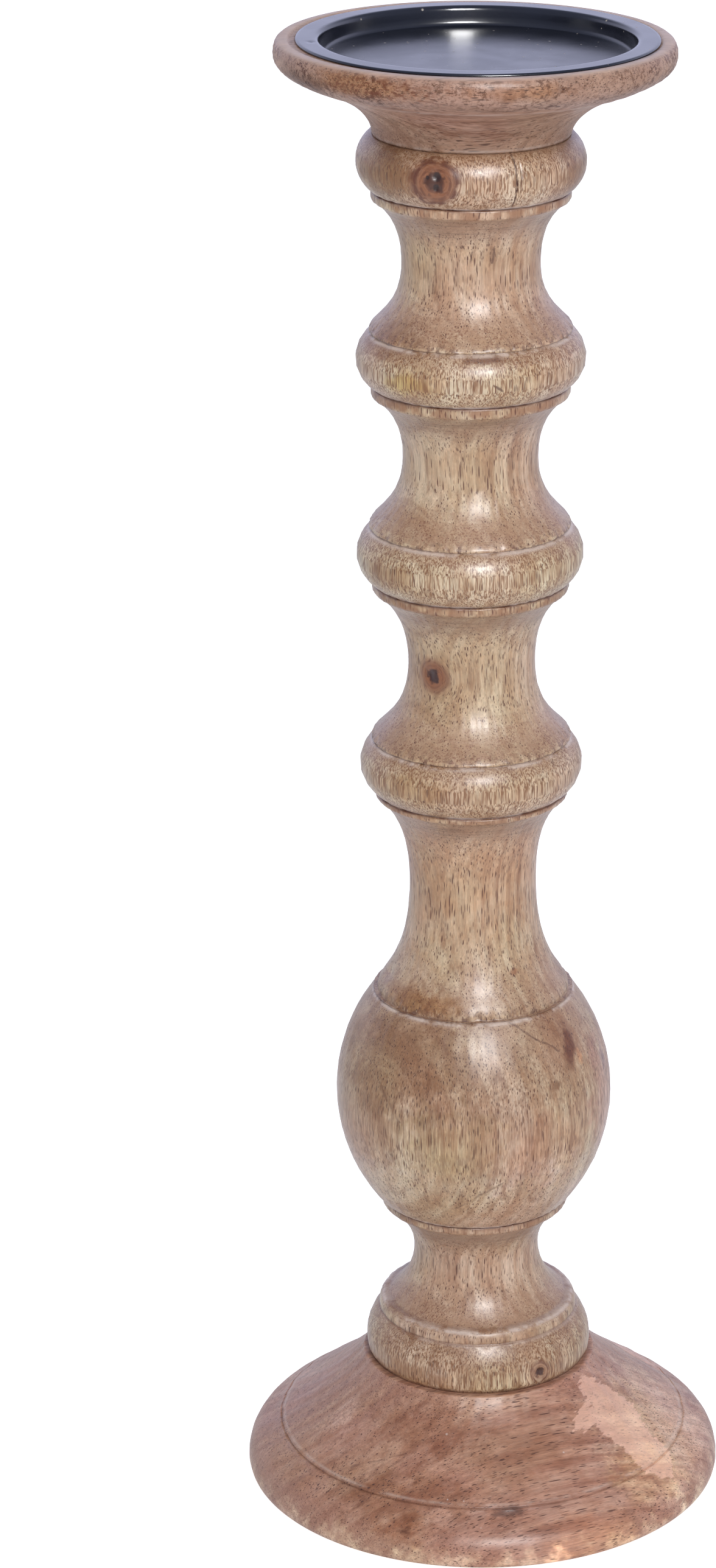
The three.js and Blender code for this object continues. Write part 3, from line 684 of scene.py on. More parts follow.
def tint(red, green, blue):
    """A colour given as it looks on screen, 0 to 255, turned into linear light."""
    levels = np.array([red, green, blue]) / 255
    linear = np.where(levels <= 0.04045, levels / 12.92, ((levels + 0.055) / 1.055) ** 2.4)
    return (*linear.tolist(), 1.0)


class Shader:
    """Short ways to add nodes to a tree; each returns the socket with its result."""

    def __init__(self, tree):
        self.tree = tree

    def node(self, kind, **settings):
        made = self.tree.nodes.new("ShaderNode" + kind)
        for key, value in settings.items():
            setattr(made, key, value)
        return made

    def feed(self, socket, value):
        """Links a socket or sets its value; three numbers for a colour are given to tint."""
        if isinstance(value, bpy.types.NodeSocket):
            self.tree.links.new(value, socket)
        elif value is not None:
            is_tint = socket.type == "RGBA" and len(value) == 3
            socket.default_value = tint(*value) if is_tint else value

    def fill(self, made, **values):
        for key, value in values.items():
            self.feed(made.inputs[key.replace("_", " ")], value)
        return made.outputs

    def math(self, operation, a, b=None, c=None, clamp=False):
        made = self.node("Math", operation=operation, use_clamp=clamp)
        for socket, value in zip(made.inputs, (a, b, c)):
            self.feed(socket, value)
        return made.outputs[0]

    def times(self, a, b, clamp=False):
        return self.math("MULTIPLY", a, b, clamp=clamp)

    def plus(self, a, b):
        return self.math("ADD", a, b)

    def less(self, a, b):
        return self.math("SUBTRACT", a, b)

    def vector(self, operation, a, b=None, output=0):
        made = self.node("VectorMath", operation=operation)
        self.feed(made.inputs[0], a)
        self.feed(made.inputs[3 if operation == "SCALE" else 1], b)
        return made.outputs[output]

    def scaled(self, a, by):
        """A vector times a number, or times (x, y, z)."""
        return self.vector("MULTIPLY" if isinstance(by, tuple) else "SCALE", a, by)

    def length(self, a):
        return self.vector("LENGTH", a, output=1)

    def dot(self, a, b):
        return self.vector("DOT_PRODUCT", a, b, output=1)

    def remap(self, value, low, high, to_low=0.0, to_high=1.0, smooth=True):
        made = self.node("MapRange", interpolation_type="SMOOTHSTEP" if smooth else "LINEAR")
        return self.fill(made, Value=value, From_Min=low, From_Max=high, To_Min=to_low, To_Max=to_high)[0]

    def noise(self, place, scale=None, detail=2.0, roughness=0.5, distortion=0.0, output=0):
        """Noise of a place scaled by a number or by (x, y, z)."""
        if scale is not None:
            place = self.scaled(place, scale)
        return self.fill(self.node("TexNoise"), Vector=place, Scale=1.0, Detail=detail, Roughness=roughness,
                         Distortion=distortion)[output]

    def cells(self, place):
        """The distance to the nearest random point, and three random values that belong to it."""
        made = self.fill(self.node("TexVoronoi", feature="F1"), Vector=place, Scale=1.0)
        return made["Distance"], self.parts(made["Color"])

    def mix(self, factor, a, b, blend="MIX"):
        made = self.node("Mix", data_type="RGBA", blend_type=blend)
        for index, value in ((0, factor), (6, a), (7, b)):
            self.feed(made.inputs[index], value)
        return made.outputs[2]

    def lay(self, colour, over, mask, *strengths):
        """The colour with another over it where the mask, times its strengths, is one."""
        for strength in strengths:
            mask = self.times(mask, strength)
        return self.mix(mask, colour, over)

    def stain(self, colour, factors, mask=1.0):
        """The colour multiplied by three factors where the mask is one."""
        return self.mix(mask, colour, (*factors, 1.0), blend="MULTIPLY")

    def parts(self, vector):
        return self.fill(self.node("SeparateXYZ"), Vector=vector)

    def whole(self, x, y, z):
        return self.fill(self.node("CombineXYZ"), X=x, Y=y, Z=z)[0]

    def mark(self, name):
        return self.node("Attribute", attribute_name=name).outputs["Fac"]

    def group(self, tree, **values):
        return self.fill(self.node("Group", node_tree=tree), **values)


SOCKETS = {"f": "Float", "v": "Vector", "c": "Color"}


def new_group(name, inputs, outputs):
    """A shader node group: its tree, Shader, output sockets by name, and its inputs in order. In the two
    lists name:v is a vector, name:c a colour, and a bare name a number."""
    tree = bpy.data.node_groups.new(name, "ShaderNodeTree")
    for way, names in (("INPUT", inputs), ("OUTPUT", outputs)):
        for key in names.split():
            key, kind = (key + ":f").split(":")[:2]
            kind = "NodeSocket" + SOCKETS[kind]
            tree.interface.new_socket(key.replace("_", " "), in_out=way, socket_type=kind)
    given, result = tree.nodes.new("NodeGroupInput").outputs, tree.nodes.new("NodeGroupOutput").inputs
    return tree, Shader(tree), result, *given[:-1]


def one_in(s, chance, amount, soft):
    """One where a random value is among the highest share of that amount."""
    shut = s.less(1.0, amount)
    return s.remap(chance, shut, s.plus(shut, soft))


def pores_group():
    """Vessels of the wood: long spheroids round random points, of which only some are open."""
    tree, s, result, place, width, length, amount = new_group(
        "wood_pores", "Position:v Width Length Amount", "Mask")
    across, along = s.math("DIVIDE", 1.0, width), s.math("DIVIDE", 1.0, length)
    distance, chance = s.cells(s.vector("MULTIPLY", place, s.whole(across, across, along)))
    size = s.remap(chance[1], 0.0, 1.0, 0.2, 0.34, smooth=False)
    body = s.remap(distance, size, s.times(size, 0.5))
    s.feed(result["Mask"], s.times(one_in(s, chance[0], amount, 0.04), body))
    return tree


def specks_group():
    """Small specks of dust at random places."""
    tree, s, result, place, spacing, amount = new_group("dust_specks", "Position:v Spacing Amount", "Mask")
    distance, chance = s.cells(s.vector("SCALE", place, s.math("DIVIDE", 1.0, spacing)))
    body = s.remap(distance, s.remap(chance[1], 0.0, 1.0, 0.06, 0.14, smooth=False), 0.02)
    s.feed(result["Mask"], s.times(one_in(s, chance[0], amount, 0.02), body))
    return tree


def grain_group():
    """Solid wood, its fibres along Z in millimetres: rings, streaks, fibres and pores, and where the fibres
    are cut across, a darker mottled ground with flecks."""
    tree, s, result, place, end_grain, pith, spread, light, middle, dark, end, fleck, pore, amount, lines = \
        new_group("wood_grain", "Position:v End_Grain Pith:v Ring Light:c Middle:c Dark:c End:c Fleck:c "
                  "Pore:c Pore_Amount Lines", "Color:c Height Pores")
    bend = s.noise(place, (0.016, 0.016, 0.006), 1, output=1)
    bent = s.vector("ADD", place, s.scaled(s.vector("SUBTRACT", bend, (0.5, 0.5, 0.5)), (7, 7, 0)))
    ring = s.math("DIVIDE", s.length(s.scaled(s.vector("SUBTRACT", bent, pith), (1, 1, 0.02))), spread)
    rings = s.noise(s.whole(ring, 3.0, s.times(s.parts(bent)[2], 0.012)), None, 2.5, 0.6)
    streaks = s.noise(bent, (0.44, 0.44, 0.025), 4, 0.68)
    fibres = s.noise(bent, (1.5, 1.5, 0.09), 2, 0.65)
    clouds = s.noise(place, (0.05, 0.05, 0.026), 3, 0.55)
    colour = s.mix(s.remap(rings, 0.4, 0.6), light, middle)
    colour = s.lay(colour, dark, s.remap(streaks, 0.47, 0.68), 0.55)
    colour = s.lay(colour, middle, s.remap(clouds, 0.46, 0.66), 0.45)
    wave = s.math("SINE", s.math("MULTIPLY_ADD", ring, 2 * math.pi, s.times(rings, 7.0)))
    colour = s.lay(colour, dark, s.remap(wave, 0.7, 1.0), lines)
    warm = s.remap(s.noise(place, (0.032, 0.032, 0.022)), 0.38, 0.62)
    colour = s.mix(warm, s.stain(colour, (1.04, 0.95, 0.93)), s.stain(colour, (1.02, 1, 0.9)))
    hairs = s.noise(bent, (4.6, 4.6, 0.3), 2, 0.6)
    colour = s.vector("SCALE", colour, s.remap(fibres, 0.34, 0.66, 1.12, 0.86, smooth=False))
    colour = s.vector("SCALE", colour, s.remap(hairs, 0.3, 0.7, 1.13, 0.85, smooth=False))
    mottle = s.remap(s.noise(place, (0.17, 0.17, 0.12), 5, 0.7), 0.38, 0.64)
    colour = s.stain(colour, (0.84, 0.74, 0.66), s.times(mottle, 0.8))

    speckle = s.noise(place, (1.1, 1.1, 0.9), 4, 0.75)
    colour = s.mix(s.times(end_grain, s.remap(speckle, 0.35, 0.6, 0.5, 1.0)), colour, end)
    flecks = s.noise(s.vector("ADD", s.scaled(place, (2.3, 2.3, 1.6)), (7, 3, 9)))
    cluster = s.remap(s.noise(place, (0.2, 0.2, 0.2)), 0.38, 0.58, 0.35, 1.0)
    colour = s.lay(colour, fleck, end_grain, s.remap(flecks, 0.5, 0.62), cluster, 0.85)

    density = s.remap(s.noise(place, (0.07, 0.07, 0.03), 1), 0.36, 0.56, 0.55, 1.2)
    amount = s.times(s.times(amount, density), s.less(1.0, s.times(end_grain, 0.9)))
    fine = s.group(PORES, Position=bent, Width=0.42, Length=5.4, Amount=amount)[0]
    coarse = s.group(PORES, Position=s.vector("ADD", bent, (31, 17, 5)), Width=0.64, Length=8.0,
                     Amount=s.times(amount, 0.85))[0]
    open_pores = s.math("MAXIMUM", s.times(fine, 0.8), coarse)
    s.feed(result["Color"], s.lay(colour, pore, open_pores, 0.92))
    s.feed(result["Pores"], open_pores)
    height = s.math("MULTIPLY_ADD", fibres, 0.05, s.times(open_pores, -0.09))
    rough_ends = s.math("MULTIPLY_ADD", end_grain, 0.11, 0.03)
    s.feed(result["Height"], s.math("MULTIPLY_ADD", speckle, rough_ends, height))
    return tree


def knot_group():
    """A knot seen end on: fibres part round it as a stream does, and inside lie rings, a dark rim and an
    uneven heart."""
    tree, s, result, place, centre, across, radius = new_group(
        "wood_knot", "Position:v Centre:v Across:v Radius", "Position:v Heart Halo Rim Rings")
    gap = s.vector("SUBTRACT", place, centre)
    side, up = s.dot(gap, across), s.parts(gap)[2]
    wobble = s.math("DIVIDE", s.remap(s.noise(place, 0.16, 1), 0.2, 0.8, 0.9, 1.12), radius)
    far = s.times(s.length(gap), wobble)
    push = s.math("DIVIDE", s.times(side, -1.0), s.math("MULTIPLY_ADD", far, far, 0.35))
    s.feed(result["Position"], s.vector("ADD", place, s.vector("SCALE", across, push)))
    box = s.math("MAXIMUM", s.math("ABSOLUTE", side), s.times(s.math("ABSOLUTE", up), 0.75))
    patches = s.noise(place, 0.5)
    core = s.times(s.plus(s.times(box, wobble), far), s.remap(patches, 0.3, 0.7, 0.38, 0.66))
    s.feed(result["Heart"], s.remap(core, 0.54, 0.34))
    s.feed(result["Halo"], s.remap(far, 1.55, 0.7))
    ridge = s.remap(s.math("ABSOLUTE", s.less(far, 1.1)), 0.3, 0.06)
    s.feed(result["Rim"], s.times(ridge, s.remap(patches, 0.36, 0.58, 0.2, 1.0)))
    swirl = s.math("SINE", s.math("MULTIPLY_ADD", far, 19.0, s.times(up, 0.3)))
    broken = s.times(s.remap(far, 1.7, 1.0), s.remap(patches, 0.36, 0.6, 0.15, 1.0))
    s.feed(result["Rings"], s.times(s.remap(swirl, -0.3, 0.9), broken))
    return tree


def line_group():
    """A line between two points: one on it and nought past its width."""
    tree, s, result, place, start, end, width = new_group(
        "fault_line", "Position:v Start:v End:v Width", "Mask")
    sway = s.vector("SUBTRACT", s.noise(place, 0.3, 3, 0.6, output=1), (0.5, 0.5, 0.5))
    gap = s.vector("SUBTRACT", s.vector("ADD", place, s.scaled(sway, 1.6)), start)
    run = s.vector("SUBTRACT", end, start)
    share = s.math("DIVIDE", s.dot(gap, run), s.dot(run, run), clamp=True)
    far = s.length(s.vector("SUBTRACT", gap, s.vector("SCALE", run, share)))
    s.feed(result["Mask"], s.remap(far, width, s.times(width, 0.3)))
    return tree


def wear_and_painted_light_group():
    """Painted shade, with some grime, darkening the turned grooves, and a pale line along each lip that is a
    painted highlight with some dust.
    """
    tree, s, result, colour, place, groove, lip, dirt = new_group(
        "turned_wear_and_painted_light", "Color:c Position:v Groove Lip Dirt:c", "Color:c")
    dark = s.times(groove, s.remap(s.noise(place, 0.25, 3, 0.6), 0.32, 0.6, 0.25, 1.0), clamp=True)
    light = s.times(lip, s.remap(s.noise(place, 0.09, 4, 0.7), 0.38, 0.56), clamp=True)
    s.feed(result["Color"], s.lay(s.mix(dark, colour, dirt), (220, 202, 188), light, 0.8))
    return tree


def lacquer_group():
    """Clear lacquer: its roughness from place to place, and its faint unevenness."""
    tree, s, result, place, pores, roughness = new_group(
        "clear_lacquer", "Position:v Pores Roughness", "Roughness Height")
    rough = s.plus(roughness, s.remap(s.noise(place, 0.08, 3), 0.3, 0.7, -0.05, 0.07))
    s.feed(result["Roughness"], s.math("MULTIPLY_ADD", pores, 0.2, rough))
    s.feed(result["Height"], s.times(s.noise(place, 0.9), 0.05))
    return tree


PORES = pores_group()
GRAIN = grain_group()
KNOT = knot_group()
LINE = line_group()
WEAR_AND_PAINTED_LIGHT = wear_and_painted_light_group()
LACQUER = lacquer_group()
SPECKS = specks_group()


def new_material(name):
    """An empty material, a Shader for its tree, and its Principled shader."""
    material = bpy.data.materials.new(name)
    material.use_nodes = True
    return material, Shader(material.node_tree), material.node_tree.nodes["Principled BSDF"]


def dressing(name):
    """The same, with object coordinates in millimetres as well."""
    material, s, bsdf = new_material(name)
    return material, s, bsdf, s.vector("SCALE", s.node("TexCoord").outputs["Object"], 1 / MM)


def constant(shader, **values):
    """Sets sockets to values that are the same all over."""
    for key, value in values.items():
        shader.inputs[key.replace("_", " ")].default_value = value


def facing(s, direction):
    """How squarely the surface faces along a direction, -1 to 1."""
    return s.dot(s.node("NewGeometry").outputs["True Normal"], direction)


def finished(s, bsdf, colour, rough, height):
    """Gives the material its colour and roughness, and a bump from a height in millimetres."""
    bump = s.fill(s.node("Bump"), Strength=1.0, Distance=MM, Height=height)[0]
    s.fill(bsdf, Base_Color=colour, Roughness=rough, Normal=bump)


def lacquered(s, bsdf, place, colour, grain, rough, coat, lines=None):
    """The wood under clear lacquer, which has a soft gloss and a dusty sheen."""
    lacquer = s.group(LACQUER, Position=place, Pores=grain["Pores"], Roughness=rough)
    height = s.plus(grain["Height"], lacquer["Height"])
    finished(s, bsdf, colour, lacquer["Roughness"], s.plus(height, lines) if lines else height)
    constant(bsdf, IOR=1.5, Specular_IOR_Level=0.25, Coat_Weight=coat, Coat_Roughness=0.35, Coat_IOR=1.42,
             Sheen_Weight=0.03, Sheen_Roughness=0.35, Sheen_Tint=(0.86, 0.86, 1.0, 1.0))


def worn(s, place, colour, dirt):
    """The colour with painted shade and some grime in the grooves, and a painted highlight with some dust
    along the lips.
    """
    groove, lip = s.mark("groove"), s.mark("lip")
    return s.group(WEAR_AND_PAINTED_LIGHT, Color=colour, Position=place, Groove=groove, Lip=lip, Dirt=dirt)[0]


def column_point(turn, height):
    """A place on the leaning column's surface, whose x is that of the true surface at this turn."""
    radius = float(np.interp(height, column_side[:, 1], column_side[:, 0]))
    x = radius * math.sin(math.radians(turn))
    y = math.sqrt(max(radius ** 2 - (x - float(lean(height))) ** 2, 0.0))
    return (x, -math.copysign(y, math.cos(math.radians(turn))), height)


def level(turn):
    """The level direction at a turn from X."""
    return (math.cos(math.radians(turn)), math.sin(math.radians(turn)), 0.0)


def lying(s, place, turn):
    """The place turned so that fibres that lie level at this turn from X run along its Z."""
    mapping = s.node("Mapping", vector_type="TEXTURE")
    return s.fill(mapping, Rotation=(0, math.radians(90), math.radians(turn)), Vector=place)[0]


def blot(s, place, centre, size, edge=0.7):
    """A soft spot of a half size along x, y and z with an uneven outline, 0 to 1."""
    ragged = 1.6
    gap = s.length(s.vector("DIVIDE", s.vector("SUBTRACT", place, centre), size))
    uneven = s.less(s.noise(place, 0.18, 3, 0.6), 0.5)
    return s.remap(s.math("MULTIPLY_ADD", uneven, ragged, gap), 1.0, 1.0 - edge)


def spotted(s, place, colour, spots):
    """The colour with each spot's stain (centre, half size, stain). A centre of two numbers is a turn and a
    height on the column."""
    for centre, size, stain in spots:
        centre = column_point(*centre) if len(centre) == 2 else centre
        colour = s.stain(colour, stain, blot(s, place, centre, size))
    return colour


def lined(s, place, colour, lines, dark):
    """The colour with each line (points, width, strength) drawn over it in a dark tint."""
    for points, width, strength in lines:
        points = [column_point(*point) if len(point) == 2 else point for point in points]
        for start, end in zip(points, points[1:]):
            mask = s.group(LINE, Position=place, Start=start, End=end, Width=width)[0]
            colour = s.lay(colour, dark, mask, strength)
    return colour


# Each knot: turn and height, radius, and how strong its halo, rings, rim and heart are
KNOTS = [
    (TOP_KNOT, 5.1, (0.95, 0.6, 0.75, 0.85)),
    (NECK_KNOT, 3.9, (0.9, 0.3, 0.25, 1.0)),
    (FOOT_KNOT, 2.6, (0.6, 0.4, 0.5, 0.9)),
    ((70, 148.6), 3.0, (0.15, 0.4, 0.15, 0.1)),
    ((176, 259), 3.0, (0.6, 0.4, 0.6, 0.8)),
]
KNOT_TINTS = {"Halo": (140, 88, 56), "Rings": (92, 50, 34), "Rim": (98, 52, 34), "Heart": (66, 36, 26)}

COLUMN_SPOTS = [
    ((0, 0, 41), (70, 70, 13), (0.82, 0.76, 0.7)),
    ((-52, 370), (18, 16, 10), (0.52, 0.4, 0.29)),
    ((62, 368), (15, 15, 9), (0.6, 0.47, 0.36)),
    ((-50, 265), (14, 14, 7), (0.7, 0.58, 0.48)),
    ((-40, 208), (14, 14, 6), (0.76, 0.64, 0.52)),
    ((-43, 236.3), (3.4, 3.4, 3.6), (0.5, 0.36, 0.28)),
    ((-58, 240), (14, 14, 17), (0.84, 0.78, 0.7)),
    ((-10, -10, 128), (62, 62, 30), (0.84, 0.8, 0.78)),
    ((-12, 112), (20, 20, 14), (1.0, 1.04, 0.92)),
    ((30, 108), (19, 19, 17), (1.02, 0.92, 0.9)),
    ((-44, 132), (36, 26, 22), (0.78, 0.7, 0.6)),
    ((0, 0, 347), (40, 40, 12), (0.95, 0.92, 0.86)),
    ((0, 0, 222), (45, 45, 4.5), (1.1, 1.14, 1.2)),
    ((0, 0, 264), (42, 42, 9), (1.06, 1.12, 1.15)),
    ((0, 0, 184), (40, 40, 30), (0.96, 0.86, 0.78)),
    ((0, 0, 82), (30, 30, 9), (0.88, 0.88, 0.9)),
    ((70, 118), (10, 20, 26), (1.04, 0.88, 0.98)),
    ((0, 0, 102), (44, 44, 10), (1.05, 1.18, 1.45)),
    ((46, 137), (8, 8, 13), (0.92, 0.82, 0.75)),
    ((47, 134.5), (2.6, 4, 11), (0.42, 0.24, 0.15)),
    ((51.5, 130.4), (1.6, 2, 4.2), (1.3, 1.08, 0.92)),
    ((0, 0, 48), (40, 40, 3.4), (0.82, 0.74, 0.66)),
    ((14, 38), (20, 14, 6), (1.25, 1.32, 1.34)),
    ((-42, 38), (16, 14, 6), (0.8, 0.66, 0.54)),
    ((68, 125.5), (2.2, 3.6, 6), (0.5, 0.46, 0.6)),
    ((-42, 146.5), (24, 16, 4), (0.8, 0.64, 0.46)),
    ((-37, 317.5), (10, 10, 4.4), (0.9, 0.8, 0.5)),
    ((-62, 326), (16, 16, 7), (0.74, 0.66, 0.58)),
    ((4.5, 324), (8, 6, 1.4), (0.42, 0.3, 0.28)),
    ((27, 154.2), (1.9, 1.9, 1.4), (0.7, 0.5, 0.42)),
    ((35.2, 126), (1.5, 1.5, 1.8), (0.6, 0.5, 0.45)),
]
COLUMN_LINES = [
    ([(17.4, 142.9), (29.6, 138.3), (40.6, 134)], 0.5, 0.55),
    ([(-47.4, 125.1), (-35.4, 117), (-45.2, 97.4)], 0.5, 0.4),
    ([(-12, 91.5), (0.3, 97), (10.3, 100.6)], 0.5, 0.4),
    ([(-3.7, 349.7), (-5.5, 342.7)], 0.35, 0.6),
    ([(14.4, 351), (12.4, 346.6)], 0.4, 0.7),
    ([(-36.7, 346), (-37.4, 338.5)], 0.4, 0.6),
    ([(8, 318), (12.3, 316.5)], 0.5, 0.8),
]


def column_material():
    """Yellow-tan wood, grain upright, with knots, cracks, ticked fillets and torn shoulders."""
    material, s, bsdf, place = dressing("column_lacquered_wood")
    bent, knots = place, []
    for at, radius, strengths in KNOTS:
        made = s.group(KNOT, Position=bent, Centre=column_point(*at), Across=level(at[0]), Radius=radius)
        bent = made["Position"]
        knots.append((made, strengths))
    upward = facing(s, (0, 0, 1))
    end_grain = s.plus(s.remap(upward, 0.22, 0.8, 0.0, 0.85), s.remap(upward, -0.35, -0.95, 0.0, 0.4))
    grain = s.group(GRAIN, Position=bent, End_Grain=end_grain, Pith=(44, 30, 0), Ring=3.4, Lines=0.2,
                    Pore_Amount=1.2, Light=(210, 190, 164), Middle=(190, 162, 133), Dark=(140, 100, 72),
                    End=(171, 135, 106), Fleck=(126, 78, 54), Pore=(100, 62, 46))
    colour = spotted(s, place, grain["Color"], COLUMN_SPOTS)
    colour = lined(s, place, colour, COLUMN_LINES, (88, 56, 42))

    tool, bead, fillet, torn = (s.mark(name) for name in ("tool", "bead", "fillet", "torn"))
    marks = s.noise(place, (0.06, 0.06, 3.2))
    colour = s.lay(colour, (158, 126, 104), tool, 0.55)
    colour = s.scaled(colour, s.less(1.0, s.times(tool, s.remap(marks, 0.46, 0.68, 0.0, 0.3))))
    colour = s.stain(colour, (1.14, 1.22, 1.26), bead)
    ball_middle = 118.0
    ball = s.remap(s.math("ABSOLUTE", s.less(s.parts(place)[2], ball_middle)), 25.0, 8.0, 0.0, 0.55)
    comb = s.remap(s.noise(bent, (2.7, 2.7, 0.15)), 0.46, 0.62, 0.0, 0.85)
    colour = s.lay(colour, (132, 88, 54), s.math("MAXIMUM", bead, ball), comb)
    ticks = s.group(PORES, Position=place, Width=0.85, Length=3.4, Amount=0.95)[0]
    rubbed = s.remap(s.noise(place, 0.28, 3), 0.4, 0.6)
    colour = s.lay(colour, (146, 100, 68), fillet, s.times(rubbed, 0.7))
    colour = s.lay(colour, (104, 62, 44), fillet, ticks, 0.9)
    tears = s.noise(place, (0.8, 0.8, 0.7))
    colour = s.lay(colour, (98, 60, 44), torn, s.remap(tears, 0.5, 0.62, 0.0, 0.7))
    colour = s.lay(colour, (208, 178, 142), torn, ticks, 0.6)

    for made, strengths in knots:
        for (part, dark), strength in zip(KNOT_TINTS.items(), strengths):
            colour = s.lay(colour, dark, made[part], strength)
    for turn, height, _, wide in TOP_KNOT_HOLES:
        hole = blot(s, place, column_point(turn, height), (wide, 2, 1.2 * wide), edge=0.5)
        colour = s.lay(colour, (44, 24, 18), hole, 0.9)
    opened = s.times(s.mark("crack"), s.remap(tears, 0.3, 0.6, 0.45, 1.2), clamp=True)
    colour = worn(s, place, s.mix(opened, colour, (78, 44, 32)), (112, 68, 46))
    turned_lines = s.times(s.times(marks, s.plus(tool, end_grain)), 0.08)
    lacquered(s, bsdf, place, colour, grain, 0.44, 0.8, turned_lines)
    return material


BASE_GRAIN = 24.0
BASE_SPOTS = [
    # Painted light: the lowest edge is made much paler, standing in for light thrown up from the floor
    ((0, 0, 1), (90, 90, 9), (1.85, 2.45, 2.45)),
    ((-21.6, -60, 10), (11, 8, 5), (0.8, 0.64, 0.54)),
    ((-21.6, -60.4, 9.8), (3.6, 3, 1.7), (0.35, 0.28, 0.25)),
    # Painted highlights: this spot and the next are paler and bluer where the cone catches the light
    ((-38, -22, 25), (8, 8, 5), (1.25, 1.35, 1.5)),
    ((48, -12, 16), (30, 36, 18), (1.5, 1.8, 1.85)),
    ((20, -60, 3.5), (7, 6, 4), (1.35, 1.3, 1.25)),
    # Painted highlight: paler and bluer where the cone catches the light
    ((47, 30, 19), (19, 10, 11), (1.5, 1.5, 1.6)),
    ((-16, -36, 29), (24, 14, 9), (0.72, 0.6, 0.52)),
    ((-22, -50, 15), (30, 14, 9), (0.74, 0.64, 0.54)),
    ((10, -42, 24), (24, 16, 9), (0.84, 0.76, 0.7)),
    ((6.8, -55, 13.6), (6, 3, 1.8), (0.4, 0.36, 0.36)),
    ((44, -36, 14), (16, 16, 9), (1.1, 1.1, 0.95)),
    ((30, -56, 6), (26, 12, 8), (1.25, 1.2, 1.1)),
]
BASE_LINES = [
    ([(-35, -37.8, 17.6), (-20.3, -39.9, 22.6)], 0.5, 0.4),
    ([(-25.9, -42.3, 18.9), (-14, -38, 25)], 0.5, 0.3),
    ([(-50, -24, 17), (-36, -20, 26)], 0.6, 0.4),
]


def base_material():
    """Red-brown wood with its grain level, a pale sapwood patch, a crease darkened by painted shade with some
    grime, and painted light on the lowest edge and the cone.
    """
    material, s, bsdf, place = dressing("base_lacquered_wood")
    end_grain = s.remap(s.math("ABSOLUTE", facing(s, level(BASE_GRAIN))), 0.35, 1.0, 0.0, 0.7)
    laid = lying(s, place, BASE_GRAIN)
    grain = s.group(GRAIN, Position=laid, End_Grain=end_grain, Pith=(-60, 70, 0), Ring=4.6, Lines=0.2,
                    Pore_Amount=0.8, Light=(199, 162, 140), Middle=(180, 138, 116), Dark=(142, 98, 78),
                    End=(168, 126, 105), Fleck=(112, 70, 54), Pore=(98, 62, 50))
    colour = spotted(s, place, grain["Color"], BASE_SPOTS)
    colour = lined(s, place, colour, BASE_LINES, (84, 52, 42))
    dashes = s.group(PORES, Position=s.vector("ADD", laid, (9, 4, 2)), Width=1.0, Length=5.5, Amount=0.85)[0]
    torn = s.math("MAXIMUM", blot(s, place, (-36, -42, 14), (22, 14, 9)),
                  s.times(blot(s, place, (16, -60, 8), (26, 9, 7)), 0.4))
    colour = s.lay(colour, (76, 48, 42), dashes, torn, 0.85)
    jagged = s.noise(lying(s, place, BASE_GRAIN + 30), (0.8, 0.8, 0.12), 3, 0.65)
    edge = s.math("MULTIPLY_ADD", s.less(jagged, 0.5), 6.5, s.mark("sapwood"))
    pale = s.mix(0.4, (232, 190, 168), s.stain(colour, (1.5, 1.45, 1.4)))
    colour = worn(s, place, s.lay(colour, pale, s.remap(edge, -0.35, 0.35), 0.95), (88, 54, 42))
    dust = s.group(SPECKS, Position=place, Spacing=4.5, Amount=0.12)[0]
    lacquered(s, bsdf, place, s.lay(colour, (226, 210, 200), dust, 0.6), grain, 0.42, 0.4)
    return material


DISH_GRAIN = 4.0
DISH_SPOTS = [
    ((-28, -41.5, 396.8), (26, 14, 4.4), (0.92, 0.77, 0.55)),
    ((-42, -28, 395), (12, 16, 3.4), (0.56, 0.5, 0.46)),
    ((10, -48, 396.8), (22, 7, 3.2), (0.82, 0.66, 0.5)),
    ((-33, 36, 399.2), (12, 9, 4), (1.5, 1.4, 1.35)),
    # Painted reflection: these two spots make the rim's left and right ends paler and bluer, where its sides
    # reflect the pale surroundings
    ((-50, 2, 397), (14, 26, 6), (1.4, 1.45, 1.5)),
    ((50, 4, 397), (14, 30, 6), (1.35, 1.45, 1.55)),
]


